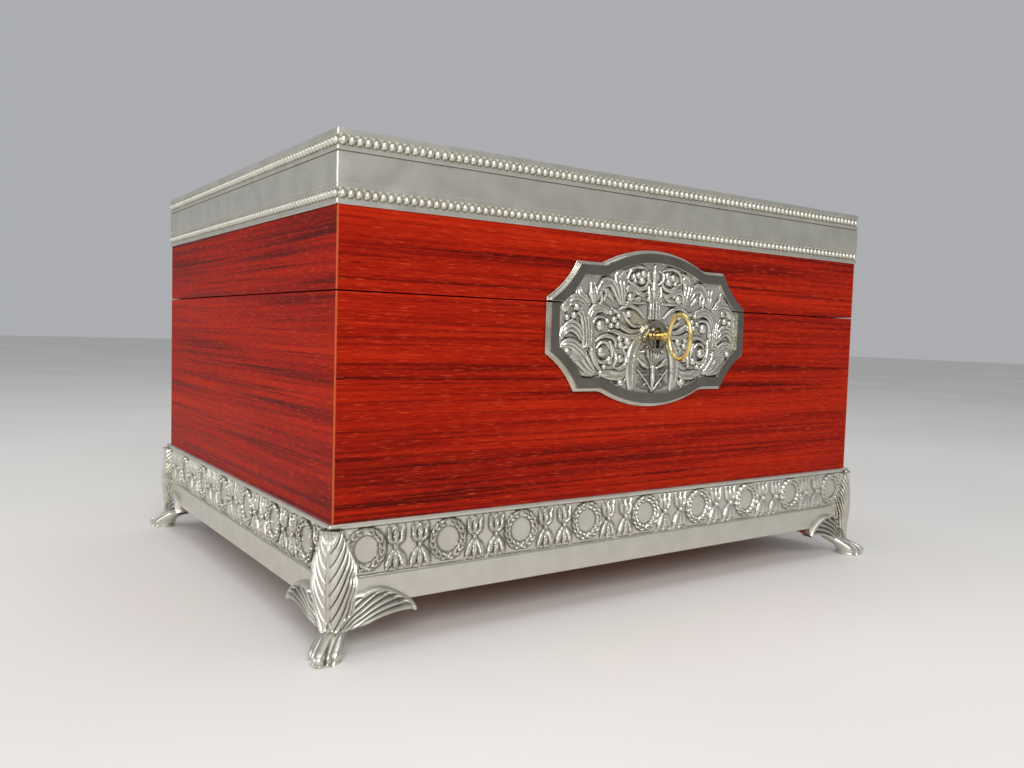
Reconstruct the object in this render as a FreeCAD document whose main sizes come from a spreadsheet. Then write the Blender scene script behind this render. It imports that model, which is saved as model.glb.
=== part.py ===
import FreeCAD, Part
import math
import os
import re
import Sketcher
from FreeCAD import Placement, Rotation, Vector

# Tea caddy: a lacquered wooden chest with a hinged lid, cast metal mounts and a box lock.
# Frame: millimetres, +Z up, floor at zero, origin under the middle of the case, front towards -Y.

# Driving dimensions: alias, value in millimetres, meaning.
SIZES = (
    ("case_width", 300.0, "outside width of the wooden case"),
    ("case_depth", 230.0, "outside depth of the wooden case"),
    ("wall", 12.0, "thickness of the case and lid walls"),
    ("foot_height", 17.0, "floor to the underside of the base"),
    ("base_height", 30.5, "height of the base rails"),
    ("case_reveal", 82.0, "bare wood between the base rails and the lid seam"),
    ("lid_reveal", 29.5, "bare wood between the lid seam and the rim"),
    ("rim_height", 26.0, "height of the lid rim"),
    ("seam_gap", 0.5, "gap between case and lid"),
    ("spare", 1.0, "how far a cutting tool runs past the face that it cuts"),
    # Base rails
    ("rail_proud", 2.0, "base rail in front of the wood"),
    ("rail_rebate", 1.5, "base rail let into the wood"),
    ("ledge_height", 2.0, "ledge along the top of the base rail"),
    ("band_height", 11.0, "plain band along the foot of the base rail"),
    ("band_bevel", 0.7, "height of the bevel on the plain band"),
    ("frieze_sink", 1.4, "frieze ground behind the face of the band"),
    ("wreath_radius", 6.65, "middle line of a frieze wreath"),
    ("wreath_wire", 1.4, "half the thickness of a frieze wreath"),
    ("wreath_pitch", 34.25, "spacing of the frieze wreaths"),
    ("wreath_drop", 10.7, "middle of a wreath below the top of the rail"),
    ("wreath_shift", -10.9, "middle wreath of a side rail from the middle of that side"),
    ("pendant_spacing", 10.0, "the two pendants between a pair of wreaths"),
    ("pendant_knop", 0.3, "knop of a pendant below the middle of the wreaths"),
    ("cup_height", 7.8, "tulip cup above the knop"),
    ("cup_radius", 2.9, "half width of the tulip cup"),
    ("cup_lip", 3.3, "half width of the tulip's open lip"),
    ("bell_height", 8.4, "bell flower below the knop"),
    ("bell_radius", 3.75, "half width of the bell flower at its foot"),
    ("knop_radius", 1.3, "half width of the knop"),
    ("pendant_neck", 0.8, "half width of the necks above and below the knop"),
    ("pendant_relief", 1.3, "pendant in front of the frieze ground"),
    ("frieze_seat", 0.6, "wreaths and pendants let into the ground"),
    # Lid rim and panel
    ("rim_proud", 0.7, "lid rim in front of the wood"),
    ("rim_rebate", 1.3, "lid rim let into the wood"),
    ("rim_lip", 6.0, "lip of the rim over the top of the lid walls"),
    ("rim_lip_thick", 2.0, "thickness of that lip"),
    ("bead_radius", 1.45, "radius of the two beaded mouldings"),
    ("bead_stand", 0.3, "middle of a beaded moulding in front of the wood face"),
    ("bead_channel", 1.75, "half height of the channel of a beaded moulding"),
    ("upper_bead_drop", 4.3, "upper moulding below the top"),
    ("lower_bead_rise", 3.7, "lower moulding above the foot of the rim"),
    ("lid_panel_thick", 8.0, "thickness of the lid panel"),
    ("lid_lining_thick", 2.0, "thickness of the lid lining board"),
    # Bottom, lining and dividers
    ("bottom_rise", 7.0, "bottom board above the underside of the base"),
    ("bottom_thick", 8.0, "thickness of the bottom board"),
    ("groove_depth", 4.0, "bottom board let into the walls"),
    ("lining_thick", 3.0, "thickness of the lining walls"),
    ("lining_floor_thick", 2.0, "thickness of the lining floor"),
    ("lip_height", 5.0, "lining above the seam"),
    ("lip_clearance", 0.6, "lining lip clear of the lid"),
    ("divider_thick", 4.0, "thickness of the dividers"),
    ("divider_drop", 3.0, "top of the dividers below the seam"),
    ("divider_spacing", 91.0, "distance between the two cross dividers"),
    ("lap_clearance", 0.15, "play in the lapped joints of the dividers"),
    # Escutcheon
    ("plate_width", 119.4, "width of the cartouche"),
    ("plate_height", 69.0, "height of the cartouche"),
    ("plate_side", 23.0, "straight side of the cartouche"),
    ("shoulder_width", 89.0, "width across the shoulders"),
    ("shoulder_height", 54.6, "height across the shoulders"),
    ("scoop_radius", 38.0, "hollow curve between side and shoulder"),
    ("arch_radius", 68.0, "arched top and foot"),
    ("cove_radius", 8.0, "hollow between shoulder and arch"),
    ("plate_rise", 72.4, "middle of the cartouche above the base rails"),
    ("plate_thick", 1.3, "thickness of the sunk field"),
    ("plate_step", 1.3, "outer step of the frame"),
    ("frame_width", 5.8, "width of the raised frame with its step"),
    ("frame_height", 3.0, "height of the raised frame above the wood"),
    # Keyhole boss and key
    ("boss_radius", 7.0, "keyhole boss"),
    ("boss_height", 2.8, "boss above the sunk field"),
    ("boss_groove_radius", 5.7, "middle of the turned groove in the boss"),
    ("boss_groove_width", 0.9, "width of the turned groove"),
    ("boss_groove_depth", 0.7, "depth of the turned groove"),
    ("keyhole_lip", 0.8, "width of the raised lip round the keyhole"),
    ("keyhole_lip_height", 0.5, "height of that lip"),
    ("keyhole_rise", 1.9, "round head of the keyhole in the boss above the key axis"),
    ("key_drop", 12.8, "keyhole below the lid seam"),
    ("shank_radius", 1.8, "shank of the key"),
    ("shank_clearance", 0.2, "shank in the keyhole"),
    ("key_reach", 6.5, "bow of the key clear of the boss"),
    ("neck_length", 1.2, "taper of the shank before the bow"),
    ("neck_radius", 0.7, "end of that taper inside the bow"),
    ("collar_radius", 2.15, "collar on the shank, before the bow"),
    ("collar_length", 1.6, "length of the collar"),
    ("collar_stand", 3.6, "collar clear of the boss"),
    ("bow_height", 21.1, "height of the oval bow"),
    ("bow_length", 14.4, "length of the bow along the shank"),
    ("bow_wire", 0.95, "half the thickness of the bow"),
    ("bit_height", 5.1, "bit of the key below the shank axis"),
    ("bit_thick", 1.8, "thickness of the bit"),
    ("bit_length", 2.4, "length of the bit along the shank"),
    # Box lock
    ("lock_width", 52.0, "width of the lock case"),
    ("lock_height", 26.0, "height of the lock case"),
    ("lock_depth", 8.0, "depth of the lock case with its cover"),
    ("lock_plate", 1.2, "thickness of the lock case walls"),
    ("lock_cover_thick", 1.0, "thickness of the lock cover"),
    ("selvedge_width", 66.0, "width of the selvedge and of the link plate"),
    ("selvedge_screw", 29.5, "selvedge screws from the middle"),
    ("drum_radius", 6.5, "turning drum that the key drives"),
    ("drum_length", 3.5, "length of the drum"),
    ("drum_clearance", 0.05, "drum in its ring"),
    ("drum_play", 0.1, "drum clear of the lock plate"),
    ("ring_thick", 1.2, "wall of the ring that carries the drum"),
    ("socket_depth", 2.9, "key socket in the drum"),
    ("crank_radius", 3.5, "crank pin from the axis of the drum"),
    ("crank_pin", 1.0, "radius of the crank pin"),
    ("yoke_clearance", 0.35, "crank pin in the slot of the bolt"),
    ("bolt_thick", 1.8, "thickness of the bolt"),
    ("bolt_play", 0.2, "bolt clear of drum, cover and lock case"),
    ("bolt_rise", 4.9, "top of the bolt plate above the key axis"),
    ("bolt_right", 8.0, "right end of the bolt plate"),
    ("hook_first", -6.5, "first hook of the link plate from the middle"),
    ("hook_spacing", 22.0, "spacing of the hooks"),
    ("hook_width", 2.4, "stem of a hook"),
    ("hook_thick", 1.4, "thickness of a hook"),
    ("nose_length", 5.2, "nose of a hook"),
    ("nose_height", 2.0, "height of the nose"),
    ("nose_rise", 5.3, "foot of the nose above the key axis"),
    ("tooth_gap", 0.4, "tooth of the bolt clear of the nose"),
    ("tooth_height", 2.2, "height of a tooth"),
    ("tooth_post", 2.0, "width of the post that carries a tooth"),
    ("hook_slot", 0.5, "play of a hook in the slot of the selvedge"),
    # Hinges
    ("hinge_set_in", 65.0, "middle of a hinge from the end of the case"),
    ("hinge_length", 40.0, "length of a hinge"),
    ("hinge_leaf_thick", 1.2, "thickness of a hinge leaf"),
    ("hinge_leaf_width", 10.0, "width of a hinge leaf on the wood"),
    ("knuckle_radius", 3.0, "radius of the hinge knuckles"),
    ("knuckle_stand", 0.2, "knuckles clear of the wood"),
    ("knuckle_gap", 0.2, "gap between knuckles"),
    ("hinge_pin_radius", 1.25, "hinge pin"),
    ("hinge_pin_clearance", 0.05, "hinge pin in its bore"),
    ("pin_head_radius", 2.0, "head of a hinge pin"),
    ("pin_head_length", 1.0, "length of that head"),
    ("hinge_screw_pitch", 24.0, "spacing of the screws in a hinge leaf"),
    # Screws
    ("screw_radius", 1.2, "shank of a wood screw"),
    ("screw_head", 2.2, "radius of a countersunk head"),
    ("screw_head_height", 1.0, "height of that head"),
    ("screw_length", 9.0, "length of a screw"),
    ("screw_clearance", 0.1, "screw in its hole"),
    # Feet, measured from the outer corner of the base
    ("leaf_top_radius", 3.9, "half width of the leaf under the ledge"),
    ("leaf_shoulder_drop", 5.9, "shoulder of the leaf below the ledge"),
    ("leaf_shoulder_radius", 5.8, "half width of the leaf at its shoulder"),
    ("leaf_belly_drop", 16.0, "widest part of the leaf below the ledge"),
    ("leaf_radius", 8.6, "half width of the leaf at its widest"),
    ("leaf_foot_rise", 3.4, "lowest lobes of the leaf above the underside of the base"),
    ("leaf_foot_radius", 8.3, "half width of the leaf at its lowest lobes"),
    ("leaf_waist_radius", 7.6, "half width of the leaf at the underside of the base"),
    ("leaf_proud", 0.8, "leaf in front of the corner of the base"),
    ("lobe_length", 11.0, "length of a lobe of the leaf"),
    ("lobe_width", 3.7, "width of a lobe"),
    ("lobe_relief", 0.9, "lobe in front of the leaf"),
    ("foot_clearance", 0.1, "carving of the base rails clear of the leaf"),
    ("ankle_radius", 4.6, "half width of the ankle"),
    ("ankle_height", 11.5, "ankle above the floor"),
    ("ankle_set_in", 2.2, "front of the ankle behind the corner"),
    ("toe_reach", 7.6, "toe tip in front of the corner"),
    ("toe_length", 12.0, "length of a toe"),
    ("toe_width", 4.8, "width of a toe"),
    ("toe_height", 8.6, "height of a toe"),
    ("toe_spread", 3.7, "spacing of the toes"),
    ("toe_sink", 0.5, "sole cut off the toes"),
    ("palm_set_in", 4.6, "middle of the palm behind the corner"),
    ("palm_length", 12.6, "length of the palm"),
    ("palm_width", 11.4, "width of the palm"),
    ("palm_height", 11.0, "height of the palm"),
    ("wing_reach", 34.0, "tip of a wing from the corner"),
    ("wing_root", 6.0, "root of a wing from the corner"),
    ("wing_crown", 12.0, "highest point of a wing from the corner"),
    ("wing_rise", 6.6, "top of a wing above the underside of the base"),
    ("wing_root_drop", 1.0, "upper edge of a wing at its root below its top"),
    ("wing_brow_radius", 20.4, "arched upper edge of a wing"),
    ("wing_sole_radius", 136.0, "lower edge of a wing"),
    ("wing_low", 7.4, "root of a wing below the underside of the base"),
    ("wing_tip_low", 2.3, "tip of a wing below the underside of the base"),
    ("wing_proud", 2.2, "wing in front of the base"),
    ("wing_round", 0.9, "rounding of the wing's edge"),
    ("wing_inward", 4.0, "wing under the base"),
    ("seat_length", 31.0, "seat of a foot along the case"),
    ("seat_width", 13.0, "seat of a foot across the wall"),
    ("seat_thick", 3.4, "thickness of the seat"),
    ("foot_screw_along", 24.0, "foot screw from the corner along the side"),
    ("foot_screw_in", 8.5, "foot screw from the face of the base"),
)

# Levels and places worked out from the driving dimensions.
BASE_TOP = "(foot_height + base_height)"
BOTTOM_LOW = "(foot_height + bottom_rise)"
BOTTOM_TOP = f"({BOTTOM_LOW} + bottom_thick)"
FLOOR_TOP = f"({BOTTOM_TOP} + lining_floor_thick)"
SEAM = f"({BASE_TOP} + case_reveal)"
CASE_TOP = f"({SEAM} - seam_gap / 2)"
LID_LOW = f"({SEAM} + seam_gap / 2)"
RIM_LOW = f"({SEAM} + lid_reveal)"
TOP = f"({RIM_LOW} + rim_height)"
PANEL_LOW = f"({TOP} - lid_panel_thick)"
LINING_TOP = f"({SEAM} + lip_height)"
DIVIDER_TOP = f"({SEAM} - divider_drop)"
INNER_WIDTH = "(case_width - 2 * wall)"
INNER_DEPTH = "(case_depth - 2 * wall)"
FRONT = "(-case_depth / 2)"
INSIDE = f"({FRONT} + wall)"
KEY_LEVEL = f"({SEAM} - key_drop)"
FIELD = f"({FRONT} - plate_thick)"
BOSS_FACE = f"({FIELD} - boss_height)"
HINGE_AXIS = "(case_depth / 2 + knuckle_radius + knuckle_stand)"
HINGE_OFFSET = "(case_width / 2 - hinge_set_in)"
LOCK_FRONT = f"({INSIDE} - lock_depth)"
LOCK_INNER = f"({LOCK_FRONT} + lock_plate)"
LOCK_COVER = f"({INSIDE} - lock_cover_thick)"
LOCK_LOW = f"({CASE_TOP} - lock_height)"
DRUM_FRONT = f"({LOCK_INNER} + drum_play)"
DRUM_BACK = f"({DRUM_FRONT} + drum_length)"
BOLT_FRONT = f"({DRUM_BACK} + bolt_play)"
BOLT_BACK = f"({BOLT_FRONT} + bolt_thick)"
CRANK_SIDE = "(crank_radius / sqrt(2))"
BOLT_TRAVEL = f"(2 * {CRANK_SIDE})"
LEDGE_LOW = f"({BASE_TOP} - ledge_height)"
WREATH_LEVEL = f"({BASE_TOP} - wreath_drop)"
KNOP_LEVEL = f"({WREATH_LEVEL} - pendant_knop)"

# Name, turn about the vertical, length and distance across, for the four sides of the case.
SIDES = (
    ("front", 0, "case_width", "case_depth"),
    ("right", 90, "case_depth", "case_width"),
    ("back", 180, "case_width", "case_depth"),
    ("left", 270, "case_depth", "case_width"),
)
# The frieze is centred on the long sides and cut off unevenly on the short ones.
FRIEZE_MIDDLE = {"front": "0", "back": "0", "left": "wreath_shift", "right": "wreath_shift"}
# Name, signs of X and Y, and turn about the vertical, for the four corners.
CORNERS = (
    ("front_left", -1, -1, 225),
    ("front_right", 1, -1, 315),
    ("back_right", 1, 1, 45),
    ("back_left", -1, 1, 135),
)
# Sections of a pendant of the frieze, from the foot of the bell flower to the lip of the tulip:
# level from the knop, half width, and relief as a share of the pendant's relief.
PENDANT_SECTIONS = (
    ("-bell_height", "bell_radius", 1.0),
    ("-bell_height * 0.6", "bell_radius * 0.68", 1.0),
    ("-bell_height * 0.3", "bell_radius * 0.5", 0.9),
    ("-knop_radius", "pendant_neck", 0.6),
    ("0", "knop_radius", 0.9),
    ("knop_radius", "pendant_neck", 0.6),
    ("cup_height * 0.45", "cup_radius", 1.0),
    ("cup_height * 0.75", "cup_radius * 0.93", 1.0),
    ("cup_height", "cup_lip", 0.8),
)
# Sections of a foot's leg from the ledge down into the paw: level, half width and front.
LEAF_SECTIONS = (
    (f"({LEDGE_LOW} - leaf_shoulder_drop)", "leaf_shoulder_radius", "leaf_proud / 2"),
    (f"({LEDGE_LOW} - leaf_belly_drop)", "leaf_radius", "leaf_proud"),
    ("(foot_height + leaf_foot_rise)", "leaf_foot_radius", "leaf_proud"),
)
LEG_SECTIONS = (
    (LEDGE_LOW, "leaf_top_radius", "0"),
    *LEAF_SECTIONS,
    ("foot_height", "leaf_waist_radius", "leaf_proud / 2"),
    ("ankle_height", "ankle_radius", "-ankle_set_in"),
    ("ankle_height / 2", "ankle_radius", "-ankle_set_in / 2"),
)
# Degrees: lobes round the leaf from its front and leaning out from the upright; outer toes turned out.
LOBE_TURN = 34
LOBE_LEAN = 40
TOE_TURN = 10
UPRIGHT = Vector(0, 0, 1)
ALONG = Vector(1, 0, 0)
AXIS_TURNS = {
    "x": Rotation(Vector(0, 1, 0), 90),
    "y": Rotation(Vector(1, 0, 0), -90),
    "z": Rotation(),
}

doc = FreeCAD.newDocument("TeaCaddy")
sheet = doc.addObject("Spreadsheet::Sheet", "Sizes")
for row, (alias, value, meaning) in enumerate(SIZES, start=1):
    sheet.set(f"A{row}", meaning)
    sheet.set(f"B{row}", str(value))
    sheet.setAlias(f"B{row}", alias)
doc.recompute()

ALIASES = {alias for alias, value, meaning in SIZES}
subparts = []


def sized(text):
    """Turn an expression in plain size names into one that reads the sheet."""
    return re.sub(r"[a-z_]+", lambda word: f"Sizes.{word[0]}" if word[0] in ALIASES else word[0], str(text))


def number(text):
    """Value of such an expression at the sheet's present sizes."""
    return float(sheet.evalExpression(sized(text)))


def feature(kind, name, **bindings):
    """Document object whose properties are bound to the sheet."""
    made = doc.addObject(kind, name)
    for prop, text in bindings.items():
        made.setExpression(prop, sized(text))
    return made


def place(made, x="0", y="0", z="0", rotation=Rotation()):
    """Bind the object's place to the sheet and set its turn."""
    made.Placement = Placement(Vector(), rotation)
    for axis, text in zip("xyz", (x, y, z)):
        made.setExpression(f"Placement.Base.{axis}", sized(text))
    return made


def box(name, x, y, z):
    """Box between pairs of low and high limits."""
    spans = [f"({high}) - ({low})" for low, high in (x, y, z)]
    made = feature("Part::Box", name, Length=spans[0], Width=spans[1], Height=spans[2])
    return place(made, x[0], y[0], z[0])


def rod(name, radius, length, axis, x, y, z):
    """Cylinder along an axis, from the given point in the axis's positive direction."""
    made = feature("Part::Cylinder", name, Radius=radius, Height=length)
    return place(made, x, y, z, AXIS_TURNS[axis])


def fuse(name, shapes, refine=True):
    """One solid from several; refine joins faces that lie in one plane."""
    made = doc.addObject("Part::MultiFuse", name)
    made.Shapes = shapes
    made.Refine = refine
    return made


def cut(name, base, tools):
    """Base with all the tools taken away."""
    made = doc.addObject("Part::Cut", name)
    made.Base = base
    made.Tool = tools[0] if len(tools) == 1 else fuse(f"{name}_tools", tools)
    return made


def common(name, base, tool):
    """What base and tool share."""
    made = doc.addObject("Part::Common", name)
    made.Base = base
    made.Tool = tool
    return made


def group(name, shapes):
    """Separate solids under one name."""
    made = doc.addObject("Part::Compound", name)
    made.Links = shapes
    return made


def subpart(made, label):
    """Give a finished sub-part its label and list it for export."""
    made.Label = label
    subparts.append(made)
    return made


def turned(made, angle):
    """Turn a side's piece from the front to its own side."""
    made.Placement = Placement(Vector(), Rotation(UPRIGHT, angle))
    return made


def mitred(name, span, reach, thick, low, high):
    """Board along the front with mitred ends; span is its outer length, reach the distance across."""
    return feature(
        "Part::Wedge", name,
        Xmin=f"-({span}) / 2", Xmax=f"({span}) / 2",
        X2min=f"-({span}) / 2 + {thick}", X2max=f"({span}) / 2 - ({thick})",
        Ymin=f"-({reach}) / 2", Ymax=f"-({reach}) / 2 + {thick}",
        Zmin=low, Zmax=high, Z2min=low, Z2max=high,
    )


def arc_middle(start, end, radius):
    """Point halfway along an arc; a negative radius bends it to the right of its travel."""
    chord = end - start
    half = chord.Length / 2
    rise = abs(radius) - math.sqrt(radius * radius - half * half)
    sideways = Vector(-chord.y, chord.x, 0).normalize()
    return (start + end) / 2 - sideways * math.copysign(rise, radius)


def outline(sketch, corners):
    """Closed outline in a sketch; each corner is (x, y) or (x, y, radius of the arc to the next corner)."""
    points = [Vector(number(corner[0]), number(corner[1]), 0) for corner in corners]
    ends = []
    for index, corner in enumerate(corners):
        start = points[index]
        end = points[(index + 1) % len(points)]
        if len(corner) == 2:
            sketch.addGeometry(Part.LineSegment(start, end), False)
            ends.append((1, 2))
            continue
        radius = number(corner[2])
        sketch.addGeometry(Part.Arc(start, arc_middle(start, end, radius), end), False)
        ends.append((1, 2) if radius > 0 else (2, 1))
        bend = sketch.addConstraint(Sketcher.Constraint("Radius", index, abs(radius)))
        sketch.setExpression(f"Constraints[{bend}]", sized(f"abs({corner[2]})"))
    for index, corner in enumerate(corners):
        following = (index + 1) % len(corners)
        joint = Sketcher.Constraint("Coincident", index, ends[index][1], following, ends[following][0])
        sketch.addConstraint(joint)
        for kind, text, value in zip(("DistanceX", "DistanceY"), corner, points[index]):
            fixed = sketch.addConstraint(Sketcher.Constraint(kind, -1, 1, index, ends[index][0], value))
            sketch.setExpression(f"Constraints[{fixed}]", sized(text))
    return sketch


def sketched_body(name, plane, corners, length, both_sides=False):
    """Body with one padded outline on an origin plane."""
    body = doc.addObject("PartDesign::Body", name)
    sketch = body.newObject("Sketcher::SketchObject", f"{name}_outline")
    support = next(item for item in body.Origin.OriginFeatures if item.Role == plane)
    sketch.AttachmentSupport = [(support, "")]
    sketch.MapMode = "FlatFace"
    outline(sketch, corners)
    pad = body.newObject("PartDesign::Pad", f"{name}_pad")
    pad.Profile = sketch
    pad.SideType = "Symmetric" if both_sides else "One side"
    pad.setExpression("Length", sized(length))
    body.Tip = pad
    return body


def screw(name, x, y, z, upward, extra="0"):
    """Countersunk screw from its head's face; extra widens it to the hole that takes it."""
    head = f"screw_head + {extra}"
    shank = f"screw_radius + {extra}"
    ends = (head, shank) if upward else (shank, head)
    head_low = z if upward else f"{z} - screw_head_height"
    shank_low = z if upward else f"{z} - screw_length - {extra}"
    cone = feature("Part::Cone", f"{name}_head", Radius1=ends[0], Radius2=ends[1], Height="screw_head_height")
    place(cone, x, y, head_low)
    shaft = rod(f"{name}_shank", shank, f"screw_length + {extra}", "z", x, y, shank_low)
    return fuse(name, [cone, shaft])


def screw_holes(name, spots, upward):
    """Holes for the screws at the given spots."""
    return [
        screw(f"{name}_hole", x, y, z, upward, "screw_clearance") for x, y, z in spots
    ]


def screw_set(label, spots, upward):
    """Identical screws under one name."""
    return subpart(group(label, [screw(f"{label}_one", x, y, z, upward) for x, y, z in spots]), label)


def keyhole(name, clearance, low, high):
    """Keyhole-shaped tool along the key's axis, between two depths."""
    length = f"({high}) - ({low})"
    shank = rod(f"{name}_round", f"shank_radius + {clearance}", length, "y", "0", low, KEY_LEVEL)
    half = f"(bit_thick / 2 + {clearance})"
    bit_low = f"{KEY_LEVEL} - bit_height - {clearance}"
    slot = box(f"{name}_slot", (f"-{half}", half), (low, high), (bit_low, KEY_LEVEL))
    return fuse(name, [shank, slot])


def tall_keyhole(name, clearance, low, high):
    """Keyhole of the boss, whose round head stands higher than the key."""
    half = f"(shank_radius + {clearance})"
    top = f"({KEY_LEVEL} + keyhole_rise)"
    head = rod(f"{name}_head", half, f"({high}) - ({low})", "y", "0", low, top)
    rise = box(f"{name}_rise", (f"-{half}", half), (low, high), (KEY_LEVEL, top))
    return fuse(name, [keyhole(f"{name}_foot", clearance, low, high), rise, head])


# Places of the screws, in the frame of the side that carries them.
def foot_screw_spots(span, reach):
    """Foot screws under one wall."""
    along = f"({span} / 2 + rail_proud - foot_screw_along)"
    inward = f"-{reach} / 2 - rail_proud + foot_screw_in"
    return [(f"-{along}", inward, "foot_height - seat_thick"), (along, inward, "foot_height - seat_thick")]


def hinge_screw_spots(side_sign, level):
    """Screws of both hinges; the sign is 1 in the case's frame, -1 in the turned frame of the back wall."""
    inward = f"{side_sign} * (case_depth / 2 - hinge_leaf_width / 2)"
    return [
        (f"{hinge} * {HINGE_OFFSET} + {end} * hinge_screw_pitch / 2", inward, level)
        for hinge in (-1, 1) for end in (-1, 1)
    ]


def selvedge_screw_spots(level):
    """Screws at both ends of the selvedge or link plate."""
    middle = f"({LOCK_FRONT} + {LOCK_COVER}) / 2"
    return [("-selvedge_screw", middle, level), ("selvedge_screw", middle, level)]


def hinge_mortises(name, low, high):
    """Shallow seats for both hinge leaves, in the turned frame of a back wall."""
    return [
        box(
            f"{name}_mortise",
            (f"{hinge} * {HINGE_OFFSET} - hinge_length / 2", f"{hinge} * {HINGE_OFFSET} + hinge_length / 2"),
            (f"{FRONT} - spare", f"{FRONT} + hinge_leaf_width"),
            (low, high),
        )
        for hinge in (-1, 1)
    ]


# Wooden case
def case_wall(side, angle, span, reach):
    """Mitred wall with a rebate for its base rail and a groove for the bottom board."""
    board = mitred(f"case_{side}_board", span, reach, "wall", "foot_height", CASE_TOP)
    face = f"-{reach} / 2"
    along = (f"-{span} / 2", f"{span} / 2")
    tools = [
        box(f"case_{side}_rebate", along, (f"{face} - spare", f"{face} + rail_rebate"),
            ("foot_height - spare", BASE_TOP)),
        box(f"case_{side}_groove", along, (f"{face} + wall - groove_depth", f"{face} + wall + spare"),
            (BOTTOM_LOW, BOTTOM_TOP)),
    ]
    tools += screw_holes(f"case_{side}_foot", foot_screw_spots(span, reach), True)
    if side == "front":
        tools += lock_mortise()
    if side == "back":
        tools += hinge_mortises("case", f"{CASE_TOP} - hinge_leaf_thick", f"{CASE_TOP} + spare")
        tools += screw_holes("case_hinge", hinge_screw_spots(-1, CASE_TOP), False)
    return subpart(turned(cut(f"case_{side}", board, tools), angle), f"case_{side}")


def lock_mortise():
    """Cuts in the front wall for the lock, its selvedge, its screws and the key."""
    half = "lock_width / 2"
    return [
        box("lock_seat", (f"-{half}", half), (LOCK_FRONT, f"{INSIDE} + spare"),
            (LOCK_LOW, f"{CASE_TOP} + spare")),
        box("selvedge_seat", ("-selvedge_width / 2", "selvedge_width / 2"), (LOCK_FRONT, LOCK_COVER),
            (f"{CASE_TOP} - lock_plate", f"{CASE_TOP} + spare")),
        rod("front_key_bore", "drum_radius - ring_thick / 2", "wall", "y",
            "0", f"{FRONT} - spare", KEY_LEVEL),
    ] + screw_holes("lock", selvedge_screw_spots(CASE_TOP), False)


def case_bottom():
    """Bottom board held in the grooves of the walls."""
    half_x = f"({INNER_WIDTH} / 2 + groove_depth)"
    half_y = f"({INNER_DEPTH} / 2 + groove_depth)"
    board = box("case_bottom", (f"-{half_x}", half_x), (f"-{half_y}", half_y), (BOTTOM_LOW, BOTTOM_TOP))
    return subpart(board, "case_bottom")


# Base rails
def frieze_places(side, span, offset, reach):
    """Places along a side at the wreaths' pitch, from an offset, that end a reach before the case does."""
    first = f"{FRIEZE_MIDDLE[side]} + {offset}"
    limit = number(f"{span} / 2 - {reach}")
    pitch = number("wreath_pitch")
    low = math.ceil((-limit - number(first)) / pitch)
    high = math.floor((limit - number(first)) / pitch)
    return [f"{first} + {step} * wreath_pitch" for step in range(low, high + 1)]


def corner_clearance(side, span, reach):
    """Room for the two feet in the carving of a rail."""
    inward = "(leaf_radius - leaf_proud) * sqrt(0.5) - rail_proud"
    return [
        rod(f"frieze_{side}_end", "leaf_radius + lobe_relief + foot_clearance", "base_height", "z",
            f"{end} * ({span} / 2 - ({inward}))", f"-{reach} / 2 + {inward}", "foot_height")
        for end in (-1, 1)
    ]


def frieze_pattern(name, form):
    """Carved form, drawn with the frieze ground through its middle, cut off a little behind that ground."""
    across = ("-wreath_pitch", "wreath_pitch")
    return cut(name, form, [box(f"{name}_trim", across, ("frieze_seat", "wreath_pitch"), across)])


def wreath():
    """Pattern of the frieze's wreath."""
    ring = feature("Part::Torus", "wreath_ring", Radius1="wreath_radius", Radius2="wreath_wire")
    return frieze_pattern("wreath", place(ring, rotation=AXIS_TURNS["y"]))


def pendant():
    """Pattern of the frieze's pendant: a tulip cup, a knop and a bell flower in one flattened form."""
    rings = []
    for level, half_width, share in PENDANT_SECTIONS:
        ring = feature("Part::Ellipse", "pendant_section", MajorRadius=half_width,
                       MinorRadius=f"pendant_relief * {share}")
        rings.append(place(ring, z=level))
    form = doc.addObject("Part::Loft", "pendant_form")
    form.Sections = rings
    form.Solid = True
    form.Ruled = True
    return frieze_pattern("pendant", form)


def base_rail(side, angle, span, reach, ring, drop):
    """Mitred metal rail: ledge, sunk frieze with wreaths (ring) and pendants (drop), and plain band."""
    face = f"-{reach} / 2"
    ground = f"{face} - rail_proud + frieze_sink"
    front = f"{face} - rail_proud"
    back = f"{face} + rail_rebate"
    band_top = "foot_height + band_height"
    profile = sketched_body(
        f"base_rail_{side}_profile", "YZ_Plane",
        [
            (back, "foot_height"), (back, BASE_TOP), (front, BASE_TOP), (front, LEDGE_LOW),
            (ground, LEDGE_LOW), (ground, band_top),
            (front, f"{band_top} - band_bevel"), (front, "foot_height"),
        ],
        f"{span} + 2 * rail_proud", both_sides=True,
    )
    mitre = mitred(
        f"base_rail_{side}_mitre", f"{span} + 2 * rail_proud", f"{reach} + 2 * rail_proud",
        "rail_proud + rail_rebate", "foot_height", BASE_TOP,
    )
    strip = common(f"base_rail_{side}_strip", profile, mitre)
    spots = [(ring, middle, WREATH_LEVEL) for middle in frieze_places(side, span, "0", "wreath_radius")]
    for end in (-1, 1):
        offset = f"(wreath_pitch + {end} * pendant_spacing) / 2"
        spots += [(drop, middle, KNOP_LEVEL) for middle in frieze_places(side, span, offset, "leaf_radius")]
    forms = [
        place(group(f"frieze_{side}_form", [form]), middle, ground, level)
        for form, middle, level in spots
    ]
    carving = cut(f"frieze_{side}", group(f"frieze_{side}_forms", forms), corner_clearance(side, span, reach))
    rail = fuse(f"base_rail_{side}", [strip, carving])
    return subpart(turned(rail, angle), f"base_rail_{side}")


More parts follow.
